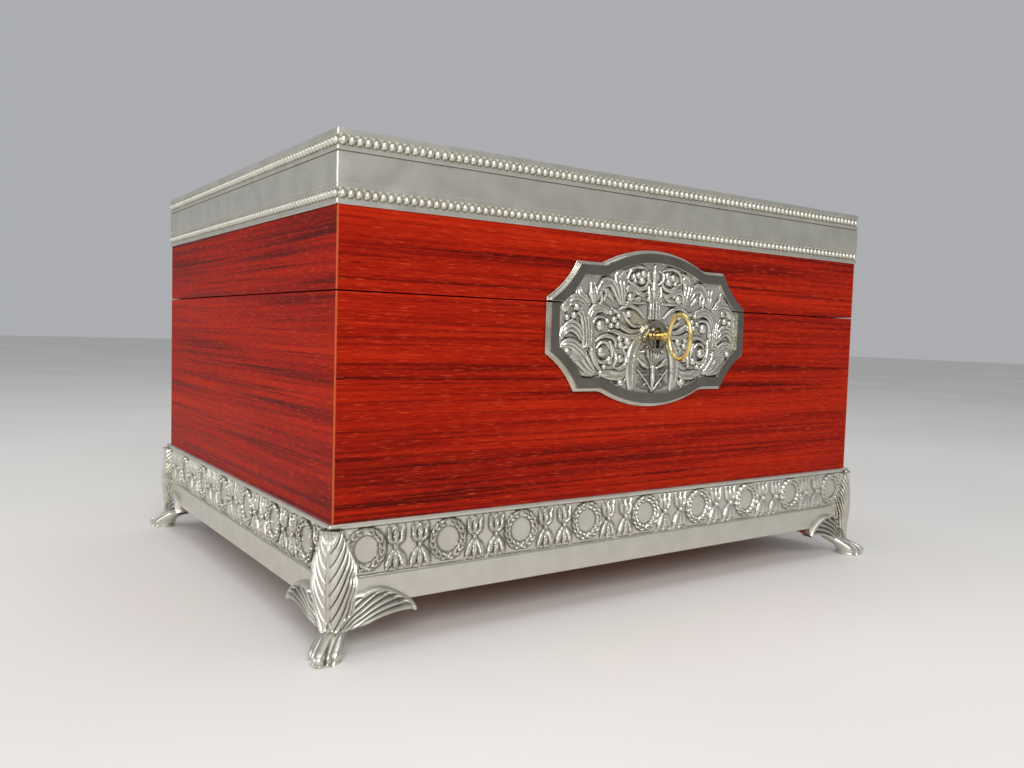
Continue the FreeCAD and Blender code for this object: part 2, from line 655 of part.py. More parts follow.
# Feet, modelled with the outer corner of the base at zero and the diagonal outwards along +X
def leaf_lobes():
    """Swept-up lobes on both sides of the leaf, at its sections and half way between them."""
    rows = [LEAF_SECTIONS[0]]
    for upper, lower in zip(LEAF_SECTIONS, LEAF_SECTIONS[1:]):
        rows.append(tuple(f"(({high}) + ({low})) / 2" for high, low in zip(upper, lower)))
        rows.append(lower)
    lobes = []
    for level, radius, front in rows:
        for hand in (-1, 1):
            lobe = feature("Part::Ellipsoid", "leaf_lobe", Radius1="lobe_length / 2", Radius2="lobe_relief",
                           Radius3="lobe_width / 2")
            turn = Rotation(UPRIGHT, hand * LOBE_TURN) * Rotation(ALONG, -hand * LOBE_LEAN)
            lobes.append(place(lobe, f"{front} - {radius} * (1 - cos({LOBE_TURN}))",
                               f"{hand} * {radius} * sin({LOBE_TURN})", level, turn))
    return lobes


def wing(name, hand):
    """Fan along one side of the base; hand is 1 for the side left of the diagonal, -1 for the other."""
    rings = []
    steps = (("-wing_inward", "0"), ("wing_proud - wing_round", "0"), ("wing_proud", "wing_round"))
    for depth, inset in steps:
        ring = doc.addObject("Sketcher::SketchObject", f"{name}_outline")
        outline(ring, [
            ("wing_root", f"foot_height - wing_low + {inset}", "wing_sole_radius"),
            (f"wing_reach - 2 * {inset}", f"foot_height - wing_tip_low + {inset} / 2", "wing_brow_radius"),
            ("wing_crown", f"foot_height + wing_rise - {inset}"),
            ("wing_root", f"foot_height + wing_rise - wing_root_drop - {inset}"),
        ])
        across = f"-{hand} * ({depth})"
        turn = Rotation(UPRIGHT, hand * 135)
        place(ring, f"({across}) * -sqrt(0.5) * {hand}", f"({across}) * -sqrt(0.5)", "0",
              turn * Rotation(ALONG, 90))
        rings.append(ring)
    fan = doc.addObject("Part::Loft", name)
    fan.Sections = rings
    fan.Solid = True
    fan.Ruled = True
    return fan


def foot_pattern():
    """One cast foot: lobed leaf, ankle, palm, three toes, two wings and the seat under the case."""
    rings = []
    for level, radius, front in LEG_SECTIONS:
        ring = feature("Part::Circle", "leaf_section", Radius=radius)
        rings.append(place(ring, f"{front} - ({radius})", "0", level, Rotation(UPRIGHT, 180)))
    leg = doc.addObject("Part::Loft", "leaf_and_ankle")
    leg.Sections = rings
    leg.Solid = True
    palm = feature("Part::Ellipsoid", "palm", Radius1="palm_height / 2", Radius2="palm_length / 2",
                   Radius3="palm_width / 2")
    paw = [place(palm, "-palm_set_in", "0", "palm_height / 2 - 2 * toe_sink")]
    for step in (-1, 0, 1):
        toe = feature("Part::Ellipsoid", "toe", Radius1="toe_height / 2", Radius2="toe_length / 2",
                      Radius3="toe_width / 2")
        set_back = f"{abs(step)} * toe_sink * 2"
        place(toe, f"toe_reach - toe_length / 2 - {set_back}", f"{step} * toe_spread",
              "toe_height / 2 - toe_sink", Rotation(UPRIGHT, step * TOE_TURN))
        paw.append(toe)
    leaf = fuse("lobed_leaf", [leg] + leaf_lobes(), refine=False)
    limb = fuse("foot_limb", [leaf, fuse("paw", paw)], refine=False)
    seat = fuse("foot_seat", [seat_arm(1), seat_arm(-1)])
    fans = fuse("foot_fans", [seat, wing("wing_left", 1), wing("wing_right", -1)], refine=False)
    casting = fuse("foot_casting", [limb, fans], refine=False)
    return cut("foot_pattern", casting, base_corner() + foot_screw_bores() + [
        box("floor_trim", ("-case_width", "case_width"), ("-case_width", "case_width"), ("-foot_height", "0"))
    ])


def seat_arm(hand):
    """Flat arm of the foot under one wall."""
    arm = feature("Part::Box", "seat_arm", Length="seat_length", Width="seat_width", Height="seat_thick")
    shift = "0" if hand > 0 else "seat_width"
    place(arm, f"-{shift} * sqrt(0.5)", f"{shift} * sqrt(0.5)", "foot_height - seat_thick",
          Rotation(UPRIGHT, hand * 135))
    return arm


def base_corner():
    """Corner of the base that the foot is fitted to: band, sunk frieze and ledge."""
    blocks = []
    levels = (
        ("foot_height", "foot_height + band_height", "0"),
        ("foot_height", LEDGE_LOW, "frieze_sink"),
        (LEDGE_LOW, f"{BASE_TOP} + spare", "0"),
    )
    for low, high, sink in levels:
        block = feature("Part::Box", "base_corner", Length="case_depth / 2", Width="case_depth / 2",
                        Height=f"{high} - ({low})")
        blocks.append(place(block, f"-{sink} * sqrt(2)", "0", low, Rotation(UPRIGHT, 135)))
    return blocks


def foot_screw_bores():
    """Screw holes of the foot, one in each seat arm."""
    bores = []
    for hand in (1, -1):
        along = "(-foot_screw_along - foot_screw_in) * sqrt(0.5)"
        across = f"{hand} * (foot_screw_along - foot_screw_in) * sqrt(0.5)"
        low = "foot_height - seat_thick"
        bores.append(screw("foot_screw_bore", along, across, low, True, "screw_clearance"))
    return bores


def feet():
    """Four castings from one pattern, turned to their corners, and their screws."""
    pattern = foot_pattern()
    for corner, sign_x, sign_y, angle in CORNERS:
        casting = group(f"foot_{corner}", [pattern])
        place(casting, f"{sign_x} * (case_width / 2 + rail_proud)",
              f"{sign_y} * (case_depth / 2 + rail_proud)",
              "0", Rotation(UPRIGHT, angle))
        subpart(casting, f"foot_{corner}")
    spots = []
    for along, inward, level in foot_screw_spots("case_width", "case_depth"):
        spots += [(along, inward, level), (along, f"-({inward})", level)]
    for along, inward, level in foot_screw_spots("case_depth", "case_width"):
        spots += [(inward, along, level), (f"-({inward})", along, level)]
    screw_set("foot_screws", spots, True)


# Lining and dividers
def lining_wall(side, angle, span, reach):
    """Mitred lining wall with a thinner lip that stands up into the lid."""
    inner_span = f"{span} - 2 * wall"
    inner_reach = f"{reach} - 2 * wall"
    board = mitred(f"lining_{side}_board", inner_span, inner_reach, "lining_thick", BOTTOM_TOP, LINING_TOP)
    face = f"-({inner_reach}) / 2"
    relief = box(f"lining_{side}_relief", (f"-({inner_span}) / 2", f"({inner_span}) / 2"),
                 (f"{face} - spare", f"{face} + lip_clearance"), (CASE_TOP, f"{LINING_TOP} + spare"))
    return subpart(turned(cut(f"lining_{side}", board, [relief]), angle), f"lining_{side}")


def lining_floor():
    """Lining floor between the lining walls."""
    half_x = f"({INNER_WIDTH} / 2 - lining_thick)"
    half_y = f"({INNER_DEPTH} / 2 - lining_thick)"
    floor = box("lining_floor", (f"-{half_x}", half_x), (f"-{half_y}", half_y), (BOTTOM_TOP, FLOOR_TOP))
    return subpart(floor, "lining_floor")


def dividers():
    """One long divider and two cross dividers, halved where they meet."""
    half_x = f"({INNER_WIDTH} / 2 - lining_thick)"
    half_y = f"({INNER_DEPTH} / 2 - lining_thick)"
    half = "(divider_thick / 2)"
    notch = f"({half} + lap_clearance)"
    lap = f"(({FLOOR_TOP} + {DIVIDER_TOP}) / 2)"
    board = box("divider_long_board", (f"-{half_x}", half_x), (f"-{half}", half), (FLOOR_TOP, DIVIDER_TOP))
    notches = [
        box("divider_long_notch", (f"{middle} - {notch}", f"{middle} + {notch}"),
            (f"-{half} - spare", f"{half} + spare"), (lap, f"{DIVIDER_TOP} + spare"))
        for middle in ("-divider_spacing / 2", "divider_spacing / 2")
    ]
    subpart(cut("divider_long", board, notches), "divider_long")
    for end, side in ((-1, "left"), (1, "right")):
        middle = f"{end} * divider_spacing / 2"
        board = box(f"divider_{side}_board", (f"{middle} - {half}", f"{middle} + {half}"),
                    (f"-{half_y}", half_y), (FLOOR_TOP, DIVIDER_TOP))
        slot = box(f"divider_{side}_notch", (f"{middle} - {half} - spare", f"{middle} + {half} + spare"),
                   (f"-{notch}", notch), (f"{FLOOR_TOP} - spare", lap))
        subpart(cut(f"divider_{side}", board, [slot]), f"divider_{side}")


# Lid
def lid_wall(side, angle, span, reach):
    """Mitred lid wall, rebated outside for the rim and inside for the panel."""
    high = f"{TOP} - rim_lip_thick"
    board = mitred(f"lid_{side}_board", span, reach, "wall", LID_LOW, high)
    face = f"-{reach} / 2"
    along = (f"-{span} / 2", f"{span} / 2")
    tools = [
        box(f"lid_{side}_rim_rebate", along, (f"{face} - spare", f"{face} + rim_rebate"),
            (RIM_LOW, f"{TOP} + spare")),
        box(f"lid_{side}_panel_rebate", along, (f"{face} + rim_lip", f"{face} + wall + spare"),
            (PANEL_LOW, f"{TOP} + spare")),
    ]
    if side == "front":
        tools.append(box("link_plate_seat", ("-selvedge_width / 2", "selvedge_width / 2"),
                         (LOCK_FRONT, LOCK_COVER), (f"{LID_LOW} - spare", f"{LID_LOW} + lock_plate")))
        tools += screw_holes("link", selvedge_screw_spots(LID_LOW), True)
    if side == "back":
        tools += hinge_mortises("lid", f"{LID_LOW} - spare", f"{LID_LOW} + hinge_leaf_thick")
        tools += screw_holes("lid_hinge", hinge_screw_spots(-1, LID_LOW), True)
    return subpart(turned(cut(f"lid_{side}", board, tools), angle), f"lid_{side}")


def lid_rim(side, angle, span, reach):
    """Mitred metal strip: two beaded mouldings in channels, plain bands, and a lip over the lid walls."""
    face = f"-{reach} / 2"
    front = f"{face} - rim_proud"
    back = f"{face} + rim_rebate"
    inner = f"{face} + rim_lip"
    proud = "(bead_radius + bead_stand)"
    length = f"{span} + 2 * {proud}"
    upper = f"{TOP} - upper_bead_drop"
    lower = f"{RIM_LOW} + lower_bead_rise"
    under_lip = f"{TOP} - rim_lip_thick"
    corners = [(back, RIM_LOW), (back, under_lip), (inner, under_lip), (inner, TOP), (front, TOP)]
    for middle in (upper, lower):
        corners += [
            (front, f"{middle} + bead_channel"), (face, f"{middle} + bead_channel"),
            (face, f"{middle} - bead_channel"), (front, f"{middle} - bead_channel"),
        ]
    corners.append((front, RIM_LOW))
    profile = sketched_body(f"lid_rim_{side}_profile", "YZ_Plane", corners, length, True)
    mouldings = [
        rod(f"lid_rim_{side}_moulding", "bead_radius", length, "x",
            f"-({length}) / 2", f"{face} - bead_stand", middle)
        for middle in (upper, lower)
    ]
    whole = fuse(f"lid_rim_{side}_whole", [profile] + mouldings)
    mitre = mitred(f"lid_rim_{side}_mitre", length, f"{reach} + 2 * {proud}",
                   f"({proud} + rim_lip)", RIM_LOW, TOP)
    return subpart(turned(common(f"lid_rim_{side}", whole, mitre), angle), f"lid_rim_{side}")


def lid_boards():
    """Panel flush with the rim, and the lining board under it."""
    half_x = "(case_width / 2 - rim_lip)"
    half_y = "(case_depth / 2 - rim_lip)"
    subpart(box("lid_panel", (f"-{half_x}", half_x), (f"-{half_y}", half_y), (PANEL_LOW, TOP)), "lid_panel")
    half_x = f"{INNER_WIDTH} / 2"
    half_y = f"{INNER_DEPTH} / 2"
    lining = box("lid_lining", (f"-{half_x}", half_x), (f"-{half_y}", half_y),
                 (f"{PANEL_LOW} - lid_lining_thick", PANEL_LOW))
    subpart(lining, "lid_lining")


# Escutcheon
def cartouche(name, inset, depth):
    """Cartouche outline, set in by a border, extruded forward from the wood face by a depth."""
    side_x = "plate_width / 2"
    side_z = "plate_side / 2"
    shoulder_x = "shoulder_width / 2"
    shoulder_z = "shoulder_height / 2"
    # The cove touches the shoulder's line and the arch; its middle is worked out from the arch's.
    rise = "(shoulder_height / 2 + cove_radius - plate_height / 2 + arch_radius)"
    cove_x = f"sqrt((arch_radius + cove_radius)^2 - {rise}^2)"
    share = "arch_radius / (arch_radius + cove_radius)"
    arch_x = f"{cove_x} * {share}"
    arch_z = f"({rise} * {share} + plate_height / 2 - arch_radius)"
    sketch = doc.addObject("Sketcher::SketchObject", f"{name}_outline")
    corners = []
    for across, up in ((1, 1), (-1, -1)):
        corners += [
            (f"{across} * {side_x}", f"-{up} * {side_z}"),
            (f"{across} * {side_x}", f"{up} * {side_z}", "-scoop_radius"),
            (f"{across} * {shoulder_x}", f"{up} * {shoulder_z}"),
            (f"{across} * {cove_x}", f"{up} * {shoulder_z}", "-cove_radius"),
            (f"{across} * {arch_x}", f"{up} * {arch_z}", "arch_radius"),
            (f"-{across} * {arch_x}", f"{up} * {arch_z}", "-cove_radius"),
            (f"-{across} * {cove_x}", f"{up} * {shoulder_z}"),
            (f"-{across} * {shoulder_x}", f"{up} * {shoulder_z}", "-scoop_radius"),
        ]
    outline(sketch, corners)
    place(sketch, "0", FRONT, f"{BASE_TOP} + plate_rise", Rotation(ALONG, 90))
    source = sketch
    if inset:
        source = feature("Part::Offset2D", f"{name}_inset", Value=f"-({inset})")
        source.Source = sketch
    plate = doc.addObject("Part::Extrusion", name)
    plate.Base = source
    plate.DirMode = "Custom"
    plate.Dir = Vector(0, -1, 0)
    plate.Solid = True
    plate.setExpression("LengthFwd", sized(depth))
    return plate


def escutcheon():
    """Cartouche with a raised frame, sawn in two at the lid seam, and the keyhole boss on its lower half."""
    frame = cut("plate_frame", cartouche("plate_rise_block", "plate_step", "frame_height"),
                [cartouche("plate_field_block", "frame_width", "frame_height + spare")])
    plate = fuse("plate_whole", [cartouche("plate_ground", "", "plate_thick"), frame])
    across = ("-plate_width", "plate_width")
    deep = (f"{FRONT} - plate_width", f"{FRONT} + spare")
    above = box("plate_above", across, deep, (CASE_TOP, f"{CASE_TOP} + plate_height"))
    below = box("plate_below", across, deep, (f"{LID_LOW} - plate_height * 2", LID_LOW))
    bore = rod("plate_key_bore", "drum_radius - ring_thick / 2", "plate_thick + 2 * spare", "y", "0",
               f"{FIELD} - spare", KEY_LEVEL)
    subpart(cut("escutcheon_lower", plate, [above, bore]), "escutcheon_lower")
    subpart(cut("escutcheon_upper", plate, [below]), "escutcheon_upper")
    disc = rod("boss_disc", "boss_radius", "boss_height", "y", "0", BOSS_FACE, KEY_LEVEL)
    groove = cut("boss_groove", rod("boss_groove_outer", "boss_groove_radius + boss_groove_width / 2",
                                    "boss_groove_depth + spare", "y", "0", f"{BOSS_FACE} - spare", KEY_LEVEL),
                 [rod("boss_groove_inner", "boss_groove_radius - boss_groove_width / 2",
                      "boss_groove_depth + 2 * spare", "y", "0", f"{BOSS_FACE} - spare", KEY_LEVEL)])
    lip_face = f"{BOSS_FACE} - keyhole_lip_height"
    lip = tall_keyhole("boss_lip", "(shank_clearance + keyhole_lip)", lip_face, FIELD)
    hole = tall_keyhole("boss_keyhole", "shank_clearance", f"{lip_face} - spare", f"{FIELD} + spare")
    turned_boss = cut("boss_turned", disc, [groove])
    subpart(cut("keyhole_boss", fuse("boss_blank", [turned_boss, lip]), [hole]), "keyhole_boss")


# Hinges
def hinge(side, sign):
    """Butt hinge: case leaf with the outer knuckles, lid leaf with the middle one, and a headed pin."""
    middle = f"{sign} * {HINGE_OFFSET}"
    low = f"({middle} - hinge_length / 2)"
    high = f"({middle} + hinge_length / 2)"
    third = "hinge_length / 3"
    spans = [
        (low, f"{low} + {third} - knuckle_gap / 2"),
        (f"{low} + {third} + knuckle_gap / 2", f"{high} - {third} - knuckle_gap / 2"),
        (f"{high} - {third} + knuckle_gap / 2", high),
    ]
    leaves = (
        ("case", (spans[0], spans[2]), f"{CASE_TOP} - hinge_leaf_thick", CASE_TOP, False),
        ("lid", (spans[1],), LID_LOW, f"{LID_LOW} + hinge_leaf_thick", True),
    )
    bore_radius = "hinge_pin_radius + hinge_pin_clearance"
    wood = ("case_depth / 2 - hinge_leaf_width", "case_depth / 2")
    for owner, knuckles, bottom, top, upward in leaves:
        solids = [box(f"hinge_{owner}_plate", (low, high), wood, (bottom, top))]
        for start, end in knuckles:
            solids.append(box(f"hinge_{owner}_tab", (start, end), (wood[1], HINGE_AXIS), (bottom, top)))
            solids.append(rod(f"hinge_{owner}_knuckle", "knuckle_radius", f"({end}) - ({start})", "x", start,
                              HINGE_AXIS, SEAM))
        bore = rod(f"hinge_{owner}_bore", bore_radius, "hinge_length + 2 * spare", "x", f"{low} - spare",
                   HINGE_AXIS, SEAM)
        level = bottom if upward else top
        spots = [spot for spot in hinge_screw_spots(1, level) if spot[0].startswith(f"{sign} *")]
        holes = screw_holes(f"hinge_{owner}_{side}", spots, upward)
        label = f"hinge_{owner}_leaf_{side}"
        subpart(cut(label, fuse(f"{label}_blank", solids), [bore] + holes), label)
    pin = [
        rod("hinge_pin_shaft", "hinge_pin_radius", "hinge_length", "x", low, HINGE_AXIS, SEAM),
        rod("hinge_pin_head", "pin_head_radius", "pin_head_length", "x",
            f"{low} - pin_head_length", HINGE_AXIS, SEAM),
        rod("hinge_pin_foot", "pin_head_radius", "pin_head_length", "x", high, HINGE_AXIS, SEAM),
    ]
    subpart(fuse(f"hinge_pin_{side}", pin), f"hinge_pin_{side}")


# Box lock
def hook_places():
    """Middles of the two hooks."""
    return ("hook_first", "(hook_first + hook_spacing)")


def lock_case():
    """Lock case: five walls, selvedge with hook slots, ring for the drum, and the keyhole."""
    half = "lock_width / 2"
    shell = box("lock_shell", (f"-{half}", half), (LOCK_FRONT, LOCK_COVER), (LOCK_LOW, CASE_TOP))
    selvedge = box("lock_selvedge", ("-selvedge_width / 2", "selvedge_width / 2"), (LOCK_FRONT, LOCK_COVER),
                   (f"{CASE_TOP} - lock_plate", CASE_TOP))
    cavity = box("lock_cavity", (f"-{half} + lock_plate", f"{half} - lock_plate"),
                 (LOCK_INNER, f"{LOCK_COVER} + spare"),
                 (f"{LOCK_LOW} + lock_plate", f"{CASE_TOP} - lock_plate"))
    hollow = cut("lock_hollow", fuse("lock_blank", [shell, selvedge]), [cavity])
    ring_length = f"{DRUM_BACK} - ({LOCK_INNER}) - bolt_play"
    bore_radius = "drum_radius + drum_clearance"
    ring_blank = rod("lock_ring_outer", f"{bore_radius} + ring_thick", ring_length, "y",
                     "0", LOCK_INNER, KEY_LEVEL)
    ring_bore = rod("lock_ring_bore", bore_radius, f"{ring_length} + 2 * spare", "y",
                    "0", f"{LOCK_INNER} - spare", KEY_LEVEL)
    ring = cut("lock_ring", ring_blank, [ring_bore])
    tools = [keyhole("lock_keyhole", "shank_clearance", f"{LOCK_FRONT} - spare", f"{LOCK_INNER} + spare")]
    for middle in hook_places():
        tools.append(box(
            "hook_slot_cut",
            (f"{middle} - hook_width / 2 - nose_length - hook_slot",
             f"{middle} + hook_width / 2 + hook_slot"),
            (f"{BOLT_FRONT} - hook_slot", LOCK_COVER),
            (f"{CASE_TOP} - lock_plate - spare", f"{CASE_TOP} + spare"),
        ))
    tools += screw_holes("lock_selvedge", selvedge_screw_spots(CASE_TOP), False)
    subpart(cut("lock_case", fuse("lock_body", [hollow, ring]), tools), "lock_case")
    cover = box("lock_cover", (f"-{half}", half), (LOCK_COVER, INSIDE), (LOCK_LOW, CASE_TOP))
    subpart(cover, "lock_cover")


def lock_drum():
    """Turning drum with the key's socket in front and the crank pin behind."""
    drum = rod("drum_disc", "drum_radius", "drum_length", "y", "0", DRUM_FRONT, KEY_LEVEL)
    pin = rod("drum_crank_pin", "crank_pin", "bolt_thick + bolt_play", "y", f"-{CRANK_SIDE}", DRUM_BACK,
              f"{KEY_LEVEL} + {CRANK_SIDE}")
    socket = keyhole("drum_socket", "shank_clearance",
                     f"{DRUM_FRONT} - spare", f"{DRUM_FRONT} + socket_depth")
    subpart(cut("lock_drum", fuse("drum_blank", [drum, pin]), [socket]), "lock_drum")


def lock_bolt():
    """Sliding bolt: plate with the slot for the crank pin, and two teeth that pass over the hooks' noses."""
    first, second = hook_places()
    tooth_low = f"({KEY_LEVEL} + nose_rise + nose_height + tooth_gap)"
    plate_top = f"({KEY_LEVEL} + bolt_rise)"
    deep = (BOLT_FRONT, BOLT_BACK)
    left = f"({first} - hook_width / 2 - nose_length - 2 * tooth_gap - {BOLT_TRAVEL} - tooth_post)"
    plate_low = f"{LOCK_LOW} + lock_plate + bolt_play"
    solids = [box("bolt_plate", (left, "bolt_right"), deep, (plate_low, plate_top))]
    for middle in (first, second):
        tip = f"({middle} - hook_width / 2 - nose_length - tooth_gap)"
        post = f"({tip} - tooth_gap - {BOLT_TRAVEL})"
        solids.append(box("bolt_post", (f"{post} - tooth_post", post), deep,
                          (f"{plate_top} - spare", f"{tooth_low} + tooth_height")))
        solids.append(box("bolt_tooth", (f"{post} - tooth_post", tip), deep,
                          (tooth_low, f"{tooth_low} + tooth_height")))
    half_slot = "(crank_pin + yoke_clearance)"
    slot = box("bolt_yoke_slot", (f"-{CRANK_SIDE} - {half_slot}", f"-{CRANK_SIDE} + {half_slot}"),
               (f"{BOLT_FRONT} - spare", f"{BOLT_BACK} + spare"),
               (f"{KEY_LEVEL} + {CRANK_SIDE} - {half_slot}", f"{plate_top} + spare"))
    subpart(cut("lock_bolt", fuse("bolt_blank", solids), [slot]), "lock_bolt")


def link_plate():
    """Plate on the lid's lower edge with two hooks that drop into the lock."""
    plate = box("link_bar", ("-selvedge_width / 2", "selvedge_width / 2"), (LOCK_FRONT, LOCK_COVER),
                (LID_LOW, f"{LID_LOW} + lock_plate"))
    middle_depth = f"(({BOLT_FRONT} + {BOLT_BACK}) / 2)"
    deep = (f"{middle_depth} - hook_thick / 2", f"{middle_depth} + hook_thick / 2")
    foot = f"({KEY_LEVEL} + nose_rise)"
    solids = [plate]
    for middle in hook_places():
        stem = (f"{middle} - hook_width / 2", f"{middle} + hook_width / 2")
        solids.append(box("link_stem", stem, deep, (foot, f"{LID_LOW} + lock_plate / 2")))
        nose = (f"{stem[0]} - nose_length", stem[1])
        solids.append(box("link_nose", nose, deep, (foot, f"{foot} + nose_height")))
    holes = screw_holes("link_bar", selvedge_screw_spots(LID_LOW), True)
    subpart(cut("link_plate", fuse("link_blank", solids), holes), "link_plate")


def key():
    """Key: shank that tapers into an oval bow, a collar, and a flat bit; the boss face is at zero."""
    neck = "(neck_length - key_reach)"
    tip = f"({DRUM_FRONT} - {BOSS_FACE} + socket_depth - shank_clearance)"
    bow_middle = "(-key_reach - bow_length / 2)"
    shank = rod("key_shank", "shank_radius", f"{tip} - {neck}", "y", "0", neck, "0")
    taper = feature("Part::Cone", "key_neck", Radius1="neck_radius", Radius2="shank_radius",
                    Height="neck_length + bow_wire")
    place(taper, "0", "-key_reach - bow_wire", "0", AXIS_TURNS["y"])
    collar = rod("key_collar", "collar_radius", "collar_length", "y",
                 "0", "-collar_stand - collar_length", "0")
    bit = box("key_bit", ("-bit_thick / 2", "bit_thick / 2"),
              (f"{tip} - bit_length", tip), ("-bit_height", "0"))
    path = feature("Part::Ellipse", "key_bow_path", MajorRadius="bow_height / 2 - bow_wire",
                   MinorRadius="bow_length / 2 - bow_wire")
    place(path, "0", bow_middle, "0", Rotation(UPRIGHT, Vector(0, 1, 0), ALONG, "XYZ"))
    section = feature("Part::Circle", "key_bow_section", Radius="bow_wire")
    place(section, "0", bow_middle, "bow_height / 2 - bow_wire", Rotation(ALONG, 90))
    bow = doc.addObject("Part::Sweep", "key_bow")
    bow.Spine = (path, ["Edge1"])
    bow.Sections = [section]
    bow.Solid = True
    whole = fuse("key", [fuse("key_stem", [shank, taper, collar, bit]), bow])
    subpart(place(whole, "0", BOSS_FACE, KEY_LEVEL), "key")


def check():
    """Stop if any object failed or any sub-part's shape is missing or broken."""
    for item in doc.Objects:
        if {"Invalid", "Error"} & set(item.State):
            raise RuntimeError(f"{item.Label} failed: {item.State}")
    for item in subparts:
        if item.Shape.isNull() or not item.Shape.isValid() or not item.Shape.Solids:
            raise RuntimeError(f"{item.Label} has no valid solid")


def main():
    """Build every sub-part, check the document and write one file for each sub-part."""
    ring = wreath()
    drop = pendant()
    for side in SIDES:
        case_wall(*side)
        base_rail(*side, ring, drop)
        lining_wall(*side)
        lid_wall(*side)
        lid_rim(*side)
    case_bottom()
    feet()
    lining_floor()
    dividers()
    lid_boards()
    escutcheon()
    for side, sign in (("left", -1), ("right", 1)):
        hinge(side, sign)
    screw_set("hinge_screws_case", hinge_screw_spots(1, CASE_TOP), False)
    screw_set("hinge_screws_lid", hinge_screw_spots(1, LID_LOW), True)
    lock_case()
    lock_drum()
    lock_bolt()
    link_plate()
    screw_set("lock_screws", selvedge_screw_spots(CASE_TOP), False)
    screw_set("link_screws", selvedge_screw_spots(LID_LOW), True)
    key()
    doc.recompute()
    check()
    os.makedirs("parts", exist_ok=True)
    for item in subparts:
        item.Shape.exportStep(f"parts/{item.Label}.step")
        print(item.Label, len(item.Shape.Solids), round(item.Shape.Volume, 2))


main()
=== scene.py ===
import logging
import math
from dataclasses import dataclass
from enum import Enum
from typing import Any, Callable, Iterable, Mapping, Sequence

import bmesh
import bpy
import numpy as np
from mathutils import Matrix, Vector


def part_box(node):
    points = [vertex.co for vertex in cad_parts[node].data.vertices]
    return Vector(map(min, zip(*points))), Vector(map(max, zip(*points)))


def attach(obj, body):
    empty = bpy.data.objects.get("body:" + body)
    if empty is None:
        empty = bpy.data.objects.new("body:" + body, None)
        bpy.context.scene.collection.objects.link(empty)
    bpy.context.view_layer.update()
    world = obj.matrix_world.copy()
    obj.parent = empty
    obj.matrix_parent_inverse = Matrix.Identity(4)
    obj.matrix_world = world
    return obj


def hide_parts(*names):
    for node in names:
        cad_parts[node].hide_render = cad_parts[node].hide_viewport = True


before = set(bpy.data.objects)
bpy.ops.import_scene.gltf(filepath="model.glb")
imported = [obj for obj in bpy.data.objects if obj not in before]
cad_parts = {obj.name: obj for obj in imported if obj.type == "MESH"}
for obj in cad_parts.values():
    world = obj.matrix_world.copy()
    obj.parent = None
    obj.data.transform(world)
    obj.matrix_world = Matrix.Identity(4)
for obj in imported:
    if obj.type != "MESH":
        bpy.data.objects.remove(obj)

# Tea caddy: lacquered padauk chest with cast pewter mounts and a brass key.
# Sizes are in millimetres in the frame's axes: +Z up, floor at zero, front towards -Y.
MM = 0.001

log = logging.getLogger("tea_caddy")

Point = tuple[float, float]


class Body(Enum):
    """Moving bodies of the caddy."""

    CASE = "case"
    LID = "lid"
    DRUM = "drum"
    KEY = "key"
    BOLT = "bolt"


class Slot(Enum):
    """Material slots of the record."""

    PADAUK = "padauk"
    PEWTER = "pewter"
    BRASS = "brass"
    CEDAR = "cedar"


class Grain(Enum):
    """Axis that the grain of a board follows."""

    X = 0
    Y = 1


class Side(Enum):
    """Sides of the case, by their turn about the vertical in degrees."""

    FRONT = 0
    RIGHT = 90
    BACK = 180
    LEFT = 270

    @property
    def label(self) -> str:
        """Name of the side as the CAD nodes write it."""
        return self.name.lower()

    @property
    def is_long(self) -> bool:
        """True for the front and the back."""
        return self in (Side.FRONT, Side.BACK)

    @property
    def turn(self) -> Matrix:
        """Turn from the front to this side."""
        return Matrix.Rotation(math.radians(self.value), 4, "Z")


def box_mm(node: str) -> tuple[np.ndarray, np.ndarray]:
    """Corners of a CAD node.

    Args:
        node: Name of the node.

    Returns:
        Lowest and highest corner in millimetres.
    """
    low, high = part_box(node)
    return np.array(low) / MM, np.array(high) / MM


@dataclass(frozen=True)
class Layout:
    """Main levels and half sizes of the caddy, read from the frame."""

    half_width: float
    half_depth: float
    foot_height: float
    base_top: float
    seam: float
    rim_low: float
    top: float
    rail_proud: float

    @classmethod
    def from_frame(cls) -> "Layout":
        """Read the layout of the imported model.

        Returns:
            The layout.
        """
        wall_low, wall_high = box_mm("case_front")
        rail_low, rail_high = box_mm("base_rail_front")
        lid_low, _ = box_mm("lid_front")
        rim_low, rim_high = box_mm("lid_rim_front")
        return cls(
            half_width=float(wall_high[0]),
            half_depth=float(-wall_low[1]),
            foot_height=float(rail_low[2]),
            base_top=float(rail_high[2]),
            seam=float(wall_high[2] + lid_low[2]) / 2,
            rim_low=float(rim_low[2]),
            top=float(rim_high[2]),
            rail_proud=float(wall_low[1] - rail_low[1]),
        )

    def half_span(self, side: Side) -> float:
        """Half length of a side."""
        return self.half_width if side.is_long else self.half_depth

    def half_reach(self, side: Side) -> float:
        """Distance of a side's face from the middle."""
        return self.half_depth if side.is_long else self.half_width


def linear(code: str) -> tuple[float, float, float, float]:
    """Colour of a hex code in linear light.

    Args:
        code: sRGB colour such as "#a3240f".

    Returns:
        Red, green, blue and full opacity.
    """
    shares = [int(code[at : at + 2], 16) / 255 for at in (1, 3, 5)]
    lit = [s / 12.92 if s <= 0.04045 else ((s + 0.055) / 1.055) ** 2.4 for s in shares]
    return lit[0], lit[1], lit[2], 1.0


